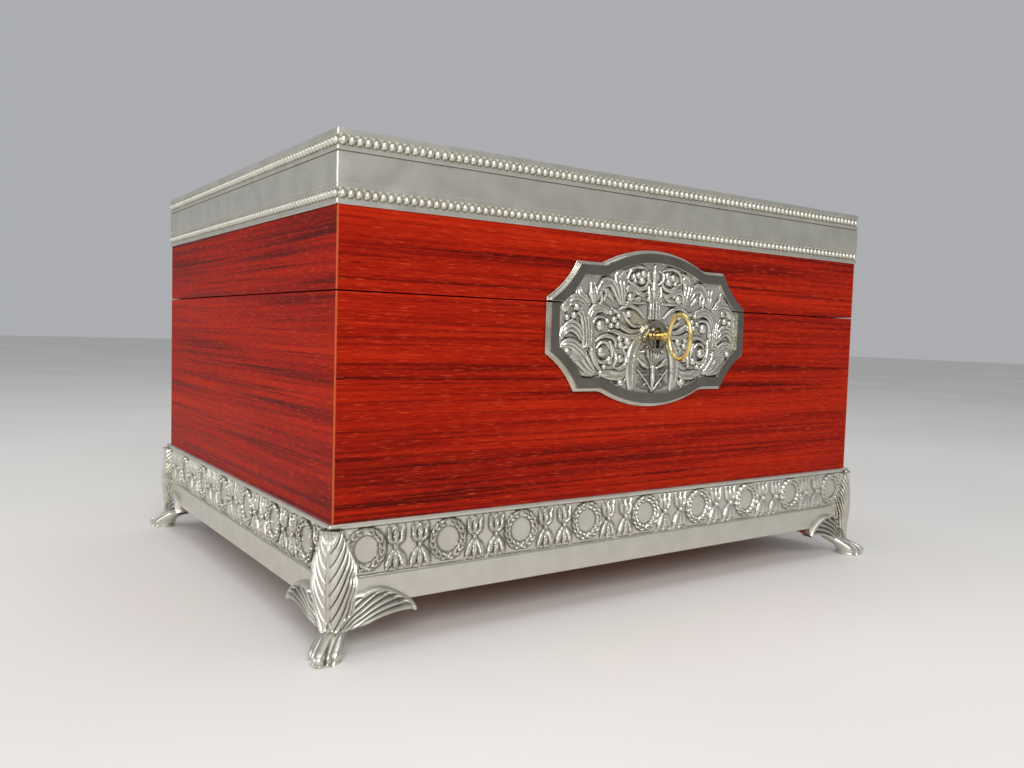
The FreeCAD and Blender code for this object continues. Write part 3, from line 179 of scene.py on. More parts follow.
class Graph:
    """Node tree of one material."""

    def __init__(self, name: str) -> None:
        """Start an empty tree.

        Args:
            name: Name of the material.
        """
        self.material = bpy.data.materials.new(name)
        self.material.use_nodes = True
        self.tree = self.material.node_tree
        self.tree.nodes.clear()

    def add(
        self,
        kind: str,
        inputs: Mapping[Any, Any] | None = None,
        ramp: Sequence[tuple[float, str]] = (),
        **settings: Any,
    ) -> bpy.types.Node:
        """Add a node with its settings and links.

        Args:
            kind: Blender's name of the node.
            inputs: Values or output sockets by input name or number.
            ramp: Positions and hex colours of a colour ramp.
            **settings: Properties of the node.

        Returns:
            The node.
        """
        node = self.tree.nodes.new(kind)
        for name, value in settings.items():
            setattr(node, name, value)
        for index, (position, code) in enumerate(ramp):
            stops = node.color_ramp.elements
            stop = stops[index] if index < 2 else stops.new(position)
            stop.position = position
            stop.color = linear(code)
        for name, value in (inputs or {}).items():
            socket = node.inputs[name]
            if isinstance(value, bpy.types.NodeSocket):
                self.tree.links.new(value, socket)
            else:
                socket.default_value = value
        return node

    def close(self, shader: bpy.types.NodeSocket) -> bpy.types.Material:
        """Join the shader to the material's surface.

        Args:
            shader: Output of the last shader.

        Returns:
            The finished material.
        """
        self.add("ShaderNodeOutputMaterial", {"Surface": shader})
        return self.material


@dataclass(frozen=True)
class Finish:
    """A surface finish; the material is made once for each name."""

    name: str

    def material(self) -> bpy.types.Material:
        """The finish's material."""
        return bpy.data.materials.get(self.name) or self.make(Graph(self.name))

    def make(self, graph: Graph) -> bpy.types.Material:
        """Build the material in an empty graph."""
        raise NotImplementedError


# Name of the mesh attribute that says how dark a place is drawn, from 0 to 1: tarnish in its hollows together
# with painted shade and shadow.
PATINA_AND_SHADE = "patina"


@dataclass(frozen=True)
class OiledWood(Finish):
    """Straight-grained wood under a thin clear coat: soft bands, narrow dark veins, short open pores, and
    pale flecks at the pores painted as their glints.

    The corner is the sum of half width and half depth of a box whose upright corners carry a painted
    highlight, or zero.
    """

    grain: Grain
    deep: str
    tones: tuple[str, str, str]
    # Colour of the pale flecks at the open pores, a painted glint.
    pore_glint: str
    coat: float
    # Noise levels of the three tones; length along the grain and width across it of the figure's marks.
    levels: tuple[float, float, float] = (0.37, 0.48, 0.62)
    band: tuple[float, float] = (420.0, 24.0)
    streak: tuple[float, float] = (150.0, 1.8)
    vein: tuple[float, float] = (150.0, 1.2)
    pore: tuple[float, float] = (6.0, 0.34)
    pore_depth: float = 0.03
    # Painted highlight along the upright corners: its colour, where it starts and where it is full, from the
    # corner.
    corner: float = 0.0
    arris_highlight: str = "#000000"
    arris_width: float = 0.7
    arris_core: float = 0.15

    def figure(
        self, graph: Graph, size: tuple[float, float], detail: float, sway: float
    ) -> bpy.types.NodeSocket:
        """Noise stretched along the grain.

        Args:
            graph: The graph.
            size: Length along the grain and width across it in millimetres.
            detail: Octaves of finer noise.
            sway: How much the lines wander.

        Returns:
            Output with the noise.
        """
        length, width = size
        scales = [1 / (width * MM)] * 3
        scales[self.grain.value] = 1 / (length * MM)
        place = graph.add("ShaderNodeTexCoord").outputs["Object"]
        stretched = graph.add("ShaderNodeMapping", {"Vector": place, "Scale": tuple(scales)})
        noise = {"Vector": stretched.outputs[0], "Scale": 1.0, "Detail": detail, "Distortion": sway}
        return graph.add("ShaderNodeTexNoise", noise).outputs["Fac"]

    def painted_arris_highlight(self, graph: Graph, colour: bpy.types.NodeSocket) -> bpy.types.NodeSocket:
        """Colour with a painted highlight along the upright corners.

        Args:
            graph: The graph.
            colour: Output with the colour of the faces.

        Returns:
            Output with the colour.
        """
        place = graph.add("ShaderNodeTexCoord").outputs["Object"]
        unsigned = graph.add("ShaderNodeVectorMath", {0: place}, operation="ABSOLUTE").outputs[0]
        axes = graph.add("ShaderNodeSeparateXYZ", {"Vector": unsigned}).outputs
        reach = graph.add("ShaderNodeMath", {0: axes["X"], 1: axes["Y"]}, operation="ADD").outputs[0]
        start, full = ((self.corner - inset) * MM for inset in (self.arris_width, self.arris_core))
        share = graph.add("ShaderNodeMapRange", {"Value": reach, "From Min": start, "From Max": full})
        tints = {"Factor": share.outputs[0], "A": colour, "B": linear(self.arris_highlight)}
        return graph.add("ShaderNodeMix", tints, data_type="RGBA").outputs["Result"]

    def make(self, graph: Graph) -> bpy.types.Material:
        """Build the material in an empty graph.

        Args:
            graph: The graph.

        Returns:
            The material.
        """
        streaks = self.figure(graph, self.streak, detail=4.0, sway=0.5)
        bands = self.figure(graph, self.band, detail=3.0, sway=0.8)
        veins = self.figure(graph, self.vein, detail=3.0, sway=0.4)
        pores = self.figure(graph, self.pore, detail=1.0, sway=0.0)
        figured = graph.add("ShaderNodeMix", {"Factor": 0.5, "A": streaks, "B": bands}, data_type="FLOAT")
        stops = tuple(zip(self.levels, self.tones))
        toned = graph.add("ShaderNodeValToRGB", {"Fac": figured.outputs["Result"]}, ramp=stops)
        colour = toned.outputs["Color"]
        for source, start, full, most, tint in (
            (veins, 0.57, 0.72, 0.65, self.deep),
            (pores, 0.60, 0.74, 0.55, self.deep),
            # Pale flecks at the pores: a painted glint.
            (pores, 0.38, 0.27, 0.6, self.pore_glint),
        ):
            share = graph.add(
                "ShaderNodeMapRange",
                {"Value": source, "From Min": start, "From Max": full, "To Min": 0.0, "To Max": most},
            )
            colour = graph.add(
                "ShaderNodeMix",
                {"Factor": share.outputs[0], "A": colour, "B": linear(tint)},
                data_type="RGBA",
            ).outputs["Result"]
        # Painted highlight down the upright corners of the box.
        if self.corner:
            colour = self.painted_arris_highlight(graph, colour)
        gloss = graph.add(
            "ShaderNodeMapRange",
            {"Value": streaks, "From Min": 0.3, "From Max": 0.7, "To Min": 0.4, "To Max": 0.52},
        )
        open_pores = {"Height": pores, "Strength": 0.15, "Distance": self.pore_depth * MM}
        dents = graph.add("ShaderNodeBump", open_pores)
        shader = graph.add(
            "ShaderNodeBsdfPrincipled",
            {
                "Base Color": colour,
                "Roughness": gloss.outputs[0],
                "Specular IOR Level": 0.03,
                "Normal": dents.outputs[0],
                "Coat Weight": self.coat,
                "Coat Roughness": 0.16,
            },
        )
        return graph.close(shader.outputs[0])


@dataclass(frozen=True)
class CastMetal(Finish):
    """Metal with polished highs: wide stains, fine grain, and the tarnish colour where a piece is hollow or
    carries painted shade.
    """

    bright: str
    dull: str
    tarnish: str
    roughness: tuple[float, float]
    # Sizes of stains and grain, depth of the grain, and roughness of tarnish.
    stain: float = 9.0
    grain: float = 0.35
    relief: float = 0.02
    tarnish_roughness: float = 0.6

    def make(self, graph: Graph) -> bpy.types.Material:
        """Build the material in an empty graph.

        Args:
            graph: The graph.

        Returns:
            The material.
        """
        place = graph.add("ShaderNodeTexCoord").outputs["Object"]

        def mottle(size: float, detail: float) -> bpy.types.NodeSocket:
            """Noise of that size in millimetres."""
            noise = {"Vector": place, "Scale": 1 / (size * MM), "Detail": detail}
            return graph.add("ShaderNodeTexNoise", noise).outputs["Fac"]

        stains = mottle(self.stain, detail=4.0)
        grain = mottle(self.grain, detail=2.0)
        shades = ((0.32, self.dull), (0.62, self.bright))
        clean = graph.add("ShaderNodeValToRGB", {"Fac": stains}, ramp=shades)
        # Mix towards the tarnish colour by the marked tarnish and painted shade.
        tarnish_and_shade = graph.add("ShaderNodeAttribute", attribute_name=PATINA_AND_SHADE)
        aged = graph.add(
            "ShaderNodeMix",
            {"Factor": tarnish_and_shade.outputs["Fac"], "A": clean.outputs["Color"], "B": linear(self.tarnish)},
            data_type="RGBA",
        )
        low, high = self.roughness
        satin = graph.add(
            "ShaderNodeMapRange",
            {"Value": stains, "From Min": 0.3, "From Max": 0.7, "To Min": low, "To Max": high},
        )
        matt = graph.add(
            "ShaderNodeMix",
            {"Factor": tarnish_and_shade.outputs["Fac"], "A": satin.outputs[0], "B": self.tarnish_roughness},
            data_type="FLOAT",
        )
        skin = graph.add("ShaderNodeBump", {"Height": grain, "Strength": 0.25, "Distance": self.relief * MM})
        shader = graph.add(
            "ShaderNodeBsdfPrincipled",
            {
                "Base Color": aged.outputs["Result"],
                "Metallic": 1.0,
                "Roughness": matt.outputs["Result"],
                "Normal": skin.outputs[0],
            },
        )
        return graph.close(shader.outputs[0])


@dataclass(frozen=True)
class Studio(Finish):
    """Plain painted studio floor: almost even, with faint wide clouds."""

    light: str
    shade: str
    cloud: float = 400.0

    def make(self, graph: Graph) -> bpy.types.Material:
        """Build the material in an empty graph.

        Args:
            graph: The graph.

        Returns:
            The material.
        """
        place = graph.add("ShaderNodeTexCoord").outputs["Object"]
        noise = {"Vector": place, "Scale": 1 / (self.cloud * MM), "Detail": 2.0}
        clouds = graph.add("ShaderNodeTexNoise", noise)
        stops = ((0.3, self.shade), (0.7, self.light))
        tone = graph.add("ShaderNodeValToRGB", {"Fac": clouds.outputs["Fac"]}, ramp=stops)
        surface = {"Base Color": tone.outputs["Color"], "Roughness": 0.55}
        shader = graph.add("ShaderNodeBsdfPrincipled", surface)
        return graph.close(shader.outputs[0])


def padauk(grain: Grain, corner: float) -> OiledWood:
    """Red padauk under lacquer: deep red with narrow, almost black veins, light flecks painted as glints of
    the pores, and a painted highlight along the upright corners.

    Args:
        grain: Axis along which the grain runs.
        corner: Sum of half width and half depth of the box, which places its upright corners.

    Returns:
        The finish.
    """
    name = f"padauk_lacquered_{grain.name.lower()}"
    tones = ("#560a04", "#921707", "#b22509")
    return OiledWood(name, grain, "#220302", tones, "#c2481f", 0.06, corner=corner, arris_highlight="#c4623a")


def cedar(grain: Grain) -> OiledWood:
    """Planed cedar, grain along an axis: pale tan with hardly any gloss."""
    tones = ("#8a5a34", "#a87246", "#c08b5b")
    return OiledWood(f"cedar_planed_{grain.name.lower()}", grain, "#6b4224", tones, "#cfa074", 0.04)


# Buffed casting: light warm grey on the highs, brown-black in the hollows and under painted shade.
PEWTER = CastMetal("pewter_cast_buffed", "#dad7cc", "#cbc8bc", "#2f2c26", (0.2, 0.28))
# Rough casting, brushed over: soft highlights on the feet and the frieze.
PEWTER_CAST = CastMetal("pewter_cast_brushed", "#d8d5ca", "#cac7bb", "#34312a", (0.28, 0.36))
# Brushed flats: even and a little matt, so that bands show no mirror image.
PEWTER_SATIN = CastMetal("pewter_satin_bands", "#d9d6cb", "#d0cdc1", "#35322b", (0.34, 0.4))
# Front flats of the escutcheon's frame: smooth pewter painted darker, a painted reflection of dark
# surroundings that sets off the bright foliage.
PEWTER_FRAME_DARKENED = CastMetal("pewter_frame_painted_dark", "#837f76", "#79756c", "#2a2822", (0.26, 0.33))
# Turned boss: polished, so that it mirrors the key, and painted darker as a reflection of dark surroundings.
PEWTER_BOSS_DARKENED = CastMetal("pewter_boss_painted_dark", "#a5a092", "#979284", "#24221d", (0.13, 0.19))
# Handled brass: bright yellow with small highlights.
BRASS_POLISHED = CastMetal("brass_polished", "#ead08a", "#e0c47a", "#5a3f16", (0.18, 0.25), relief=0.005)
# Brass out of reach: browner and duller.
BRASS_OLD = CastMetal("brass_lacquered", "#b8924a", "#9c7a3c", "#4a3516", (0.26, 0.38))
FLOOR = Studio("studio_floor_painted", "#e9e7e3", "#dfddd8")


def path(points: Sequence[Sequence[float]], step: float) -> np.ndarray:
    """Smooth curve through points.

    Args:
        points: Places that the curve passes.
        step: Largest distance between two points of the result.

    Returns:
        Points along the curve, one row each.
    """
    known = np.array(points, float)
    ends = np.vstack([2 * known[0] - known[1], known, 2 * known[-1] - known[-2]])
    pieces = []
    for a, b, c, d in zip(ends, ends[1:], ends[2:], ends[3:]):
        count = max(2, math.ceil(np.linalg.norm(c - b) / step))
        t = np.linspace(0, 1, count, endpoint=False)[:, None]
        slope_b, slope_c = (c - a) / 2, (d - b) / 2
        pieces.append(
            (2 * t**3 - 3 * t**2 + 1) * b
            + (t**3 - 2 * t**2 + t) * slope_b
            + (3 * t**2 - 2 * t**3) * c
            + (t**3 - t**2) * slope_c
        )
    return np.vstack(pieces + [known[-1:]])


def spread(values: Sequence[float], count: int) -> np.ndarray:
    """Values spread evenly over a number of places, with straight runs between them."""
    return np.interp(np.linspace(0, 1, count), np.linspace(0, 1, len(values)), values)


def blurred(heights: np.ndarray, reach: int) -> np.ndarray:
    """Heights averaged over a square window.

    Args:
        heights: The height field.
        reach: Cells on each side of the middle one.

    Returns:
        A field of the same size.
    """
    for axis in (0, 1):
        edges = [(0, 0), (0, 0)]
        edges[axis] = (reach + 1, reach)
        total = np.cumsum(np.pad(heights, edges, mode="edge"), axis=axis)
        size = 2 * reach + 1
        low = np.take(total, range(heights.shape[axis]), axis=axis)
        high = np.take(total, range(size, size + heights.shape[axis]), axis=axis)
        heights = (high - low) / size
    return heights


def hollows(heights: np.ndarray, reach: int, depth: float) -> np.ndarray:
    """How hollow each place of a height field is.

    Args:
        heights: The height field.
        reach: Cells to compare with on each side.
        depth: Depth below the surroundings that counts as fully hollow.

    Returns:
        Values from 0 to 1.
    """
    return np.clip((blurred(heights, reach) - heights) / depth, 0, 1)


def fade(value: np.ndarray, start: float, full: float) -> np.ndarray:
    """Share that runs from 0 at the start to 1 at the full value."""
    return np.clip((value - start) / (full - start), 0, 1)


def ridge(away: np.ndarray, half: float) -> np.ndarray:
    """Bell curve that is 1 in its middle and about a third at its half width."""
    return np.exp(-((away / half) ** 2))


class Relief:
    """Carving on a flat ground, as heights over a grid."""

    # Least height of a stroke's thin end and sharpness of its crease, both as shares.
    thin_end = 0.45
    crease_half = 0.05
    # Share of single grains beside clusters in the texture of a sand casting.
    fine_grain = 0.6
    # Reach and depth in millimetres of the hollows that are darkened: the wide ones as tarnish, the narrow
    # ones as painted shadow outlines round the raised forms.
    hollow_sizes = ((1.2, 0.8), (0.5, 0.4))

    def __init__(self, low: Point, high: Point, cell: float) -> None:
        """Start with the bare ground.

        Args:
            low: Lowest corner of the ground.
            high: Highest corner of the ground.
            cell: Distance between grid points.
        """
        self.cell = cell
        self.across = np.linspace(low[0], high[0], round((high[0] - low[0]) / cell) + 1)
        self.up = np.linspace(low[1], high[1], round((high[1] - low[1]) / cell) + 1)
        self.heights = np.zeros((len(self.up), len(self.across)))
        self.tone = np.zeros_like(self.heights)

    def window(self, points: np.ndarray, reach: float) -> tuple[slice, slice]:
        """Part of the grid near some points.

        Args:
            points: The points.
            reach: Distance to include round them.

        Returns:
            Rows and columns.
        """
        slices = []
        for axis, values in ((1, self.up), (0, self.across)):
            first = np.searchsorted(values, points[:, axis].min() - reach)
            last = np.searchsorted(values, points[:, axis].max() + reach)
            slices.append(slice(first, last))
        return slices[0], slices[1]

    def stroke(
        self,
        points: Sequence[Point],
        widths: Sequence[float],
        height: float,
        vein: float = 0.0,
        tone: float = 0.0,
    ) -> None:
        """Raise a rounded, tapering leaf or stem.

        Args:
            points: Middle line.
            widths: Half widths along it.
            height: Height where it is widest.
            vein: Depth of the crease along its middle.
            tone: Darkening of its whole face.
        """
        line = path(points, 2 * self.cell)
        half = spread(widths, len(line))
        tall = height * np.clip(half / max(widths), self.thin_end, 1)
        rows, columns = self.window(line, max(widths))
        u, v = np.meshgrid(self.across[columns], self.up[rows])
        raised = np.zeros_like(u)
        crease = np.ones_like(u)
        for (x, z), w, h in zip(line, half, tall):
            apart = ((u - x) ** 2 + (v - z) ** 2) / (w * w)
            np.maximum(raised, h * np.sqrt(np.clip(1 - apart, 0, 1)), out=raised)
            np.minimum(crease, apart, out=crease)
        raised -= vein * np.exp(-crease / self.crease_half) * (raised > 0)
        here = self.heights[rows, columns]
        self.tone[rows, columns][raised > here] = tone
        np.maximum(here, raised, out=here)

    def dome(self, middle: Point, radius: float, height: float) -> None:
        """Raise a berry."""
        self.stroke((middle, (middle[0], middle[1] + self.cell)), (radius, radius), height)

    def stamp(self, other: "Relief", middle: Point) -> None:
        """Copy a smaller carving to a place.

        Args:
            other: Carving with the same cell, drawn about zero.
            middle: Where its zero goes.
        """
        column = round((middle[0] + other.across[0] - self.across[0]) / self.cell)
        row = round((middle[1] + other.up[0] - self.up[0]) / self.cell)
        rows = slice(max(row, 0), min(row + len(other.up), len(self.up)))
        columns = slice(max(column, 0), min(column + len(other.across), len(self.across)))
        source = other.heights[rows.start - row : rows.stop - row]
        source = source[:, columns.start - column : columns.stop - column]
        here = self.heights[rows, columns]
        np.maximum(here, source, out=here)

    def mirror(self) -> None:
        """Repeat the carving on the other side of the upright through zero."""
        for field in (self.tone, self.heights):
            field[:] = np.maximum(field, field[:, ::-1])

    def ripple(self, pitch: float, depth: float, over: float, lean: float = 0.8) -> None:
        """Cut herringbone veins into the high parts.

        Args:
            pitch: Distance between veins.
            depth: Their depth.
            over: Height over which the carving takes them.
            lean: Rise of the veins for each millimetre from the middle.
        """
        u, v = np.meshgrid(self.across, self.up)
        wave = 0.5 + 0.5 * np.cos(2 * np.pi * (v - lean * np.abs(u)) / pitch)
        self.heights -= depth * wave * (self.heights > over)

    def roughen(self, depth: float) -> None:
        """Add the fine grain of a sand casting."""
        grain = np.random.default_rng(1).normal(size=self.heights.shape)
        self.heights += depth * (self.fine_grain * grain + blurred(grain, 1))

    def patina(self) -> np.ndarray:
        """Tarnish that the carving collects, painted shadow outlines round its raised forms, and the
        darkening set on its strokes.
        """
        found = [hollows(self.heights, round(reach / self.cell), depth) for reach, depth in self.hollow_sizes]
        return np.clip(sum(found) + self.tone, 0, 1)


class Skin:
    """Mesh under construction, from grids of points in millimetres."""

    def __init__(self) -> None:
        """Start with nothing."""
        self.points: list[np.ndarray] = []
        self.faces: list[np.ndarray] = []
        self.patina: list[np.ndarray] = []
        self.count = 0

    def grid(
        self,
        points: np.ndarray,
        patina: np.ndarray | None = None,
        keep: np.ndarray | None = None,
        closed: bool = False,
    ) -> None:
        """Add a grid of quads.

        Args:
            points: Rows by columns by three coordinates.
            patina: Tarnish and painted shade of each point, or None for a clean grid.
            keep: Points that may carry faces, or None for all.
            closed: True if the last column joins the first.
        """
        rows, columns = points.shape[:2]
        index = np.arange(rows * columns).reshape(rows, columns)
        if closed:
            index = np.column_stack([index, index[:, 0]])
        corners = [index[:-1, :-1], index[:-1, 1:], index[1:, 1:], index[1:, :-1]]
        quads = np.stack(corners, axis=-1).reshape(-1, 4)
        if keep is not None:
            quads = quads[keep.reshape(-1)[quads].all(axis=1)]
        self.faces.append(quads + self.count)
        self.points.append(points.reshape(-1, 3))
        self.patina.append(np.zeros(rows * columns) if patina is None else patina.reshape(-1))
        self.count += rows * columns

    def turned(self, turn: Matrix, shift: Sequence[float] = (0, 0, 0)) -> None:
        """Turn and move what has been added so far."""
        spin = np.array(turn.to_3x3())
        self.points = [points @ spin.T + np.array(shift) for points in self.points]

    def mesh(self, name: str) -> bpy.types.Mesh:
        """Finish the mesh.

        Args:
            name: Name of the mesh.

        Returns:
            A mesh in metres with its loose points dropped.
        """
        points = np.vstack(self.points) * MM
        faces = np.vstack(self.faces)
        used, faces = np.unique(faces, return_inverse=True)
        made = bpy.data.meshes.new(name)
        made.from_pydata(points[used].tolist(), [], faces.reshape(-1, 4).tolist())
        layer = made.attributes.new(PATINA_AND_SHADE, "FLOAT", "POINT")
        layer.data.foreach_set("value", np.concatenate(self.patina)[used].astype(np.float32))
        return made


def publish(
    name: str,
    mesh: bpy.types.Mesh,
    body: Body,
    finish: Finish,
    nodes: Iterable[str] = (),
    sharp: float = 40.0,
) -> bpy.types.Object:
    """Make a visible piece and hand it to the frame.

    Args:
        name: Name of the piece.
        mesh: Its mesh, in the frame's place.
        body: Body that it rides on.
        finish: Its finish.
        nodes: CAD nodes that it stands for.
        sharp: Angle in degrees over which an edge stays sharp.

    Returns:
        The object.
    """
    piece = bpy.data.objects.new(name, mesh)
    bpy.context.scene.collection.objects.link(piece)
    if not mesh.materials:
        mesh.materials.append(finish.material())
    mesh.shade_smooth()
    mesh.set_sharp_from_angle(angle=math.radians(sharp))
    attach(piece, body.value)
    nodes = tuple(nodes)
    if nodes:
        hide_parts(*nodes)
    stands_for = ", ".join(nodes) or "itself"
    log.info("%s on %s, %d faces, for %s", name, body.value, len(mesh.polygons), stands_for)
    return piece


# Points of a CAD mesh closer than this are one, and faces that differ less than this in degrees are flat.
WELD = 0.001
FLAT = 0.2
# Angles in degrees over which the edges of a CAD node stay sharp, and over which they are softened.
SHARP_EDGE = 30.0
SOFT_EDGE = 35.0


def cad_mesh(node: str, name: str) -> bpy.types.Mesh:
    """Copy of a CAD node's mesh, welded and with its flat faces whole.

    Args:
        node: The node.
        name: Name of the copy.

    Returns:
        The mesh.
    """
    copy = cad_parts[node].data.copy()
    copy.name = name
    copy.materials.clear()
    work = bmesh.new()
    work.from_mesh(copy)
    bmesh.ops.remove_doubles(work, verts=work.verts, dist=WELD * MM)
    bmesh.ops.dissolve_limit(work, angle_limit=math.radians(FLAT), verts=work.verts, edges=work.edges)
    work.to_mesh(copy)
    work.free()
    return copy


def dressed(
    node: str, body: Body, finish: Finish, bevel: float, segments: int = 2
) -> bpy.types.Object:
    """Show a CAD node with softened edges and its finish.

    Args:
        node: The node.
        body: Body that carries it.
        finish: Its finish.
        bevel: Width of the softened edges in millimetres.
        segments: Steps of the rounding.

    Returns:
        The piece.
    """
    name = f"{node}_finished"
    piece = publish(name, cad_mesh(node, name), body, finish, (node,), sharp=SHARP_EDGE)
    soft = piece.modifiers.new("soft_edges", "BEVEL")
    soft.width = bevel * MM
    soft.segments = segments
    soft.limit_method = "ANGLE"
    soft.angle_limit = math.radians(SOFT_EDGE)
    soft.harden_normals = True
    return piece


def finish_faces(piece: bpy.types.Object, finish: Finish, chosen: Callable[[Vector], bool]) -> None:
    """Give some faces of a piece another finish.

    Args:
        piece: The piece.
        finish: The other finish.
        chosen: Says from the middle of a face whether it takes that finish.
    """
    piece.data.materials.append(finish.material())
    for face in piece.data.polygons:
        if chosen(face.center):
            face.material_index = len(piece.data.materials) - 1


@dataclass(frozen=True)
class Woodwork:
    """Padauk case and lid, and their cedar lining."""

    layout: Layout
    edge: float = 0.35

    def build(self) -> None:
        """Show every board."""
        corner = self.layout.half_width + self.layout.half_depth
        for side in Side:
            grain = Grain.X if side.is_long else Grain.Y
            dressed(f"case_{side.label}", Body.CASE, padauk(grain, corner), self.edge)
            dressed(f"lid_{side.label}", Body.LID, padauk(grain, corner), self.edge)
            dressed(f"lining_{side.label}", Body.CASE, cedar(grain), self.edge)
        dressed("lid_panel", Body.LID, padauk(Grain.X, corner), self.edge)
        dressed("lid_lining", Body.LID, cedar(Grain.X), self.edge)
        for node in ("case_bottom", "lining_floor", "divider_long"):
            dressed(node, Body.CASE, cedar(Grain.X), self.edge)
        for node in ("divider_left", "divider_right"):
            dressed(node, Body.CASE, cedar(Grain.Y), self.edge)


@dataclass(frozen=True)
class Brassware:
    """Hinges, lock, key and screws."""

    edge: float = 0.2
    key_edge: float = 0.25
    key_steps: int = 3

    def build(self) -> None:
        """Show every piece of brass."""
        for hand in ("left", "right"):
            for node in (f"hinge_case_leaf_{hand}", f"hinge_pin_{hand}"):
                self.dress(node, Body.CASE)
            self.dress(f"hinge_lid_leaf_{hand}", Body.LID)
        for node in ("hinge_screws_case", "lock_screws", "lock_case", "lock_cover", "foot_screws"):
            self.dress(node, Body.CASE)
        for node in ("hinge_screws_lid", "link_screws", "link_plate"):
            self.dress(node, Body.LID)
        self.dress("lock_bolt", Body.BOLT)
        self.dress("lock_drum", Body.DRUM)
        dressed("key", Body.KEY, BRASS_POLISHED, self.key_edge, self.key_steps)

    def dress(self, node: str, body: Body) -> None:
        """Show one piece in old lacquered brass."""
        dressed(node, body, BRASS_OLD, self.edge)


@dataclass(frozen=True)
class Moulding:
    """Strip along one side of the case, swept from a profile, with mitred and rounded corners."""

    side: Side
    layout: Layout
    corner: float = 0.5
    corner_steps: int = 4

    def sweep(self, profile: np.ndarray, along: np.ndarray) -> np.ndarray:
        """Points of the strip, drawn along the front.

        Args:
            profile: Distance in front of the wood face and level, one row each, or one table for each column.
            along: Places along the side, as shares of its half length from -1 to 1.

        Returns:
            Rows of the profile by columns along the side by three coordinates.
        """
        if profile.ndim == 2:
            profile = np.repeat(profile[:, None, :], len(along), axis=1)
        proud, level = profile[..., 0], profile[..., 1]
        x = along[None, :] * (self.layout.half_span(self.side) + proud - self.corner)
        y = -self.layout.half_reach(self.side) - proud
        strip = np.stack([x, y, level], axis=-1)
        turn = np.linspace(0, math.pi / 4, self.corner_steps + 1)[1:]
        rounding = self.corner * np.stack([np.sin(turn), 1 - np.cos(turn), 0 * turn], axis=-1)
        first = strip[:, :1] + rounding[::-1] * (-1, 1, 1)
        last = strip[:, -1:] + rounding
        return np.concatenate([first, strip, last], axis=1)

    def shade(self, tarnish: np.ndarray) -> np.ndarray:
        """Tarnish and painted shade of the strip with its rounded corners."""
        return np.pad(tarnish, ((0, 0), (self.corner_steps, self.corner_steps)), mode="edge")


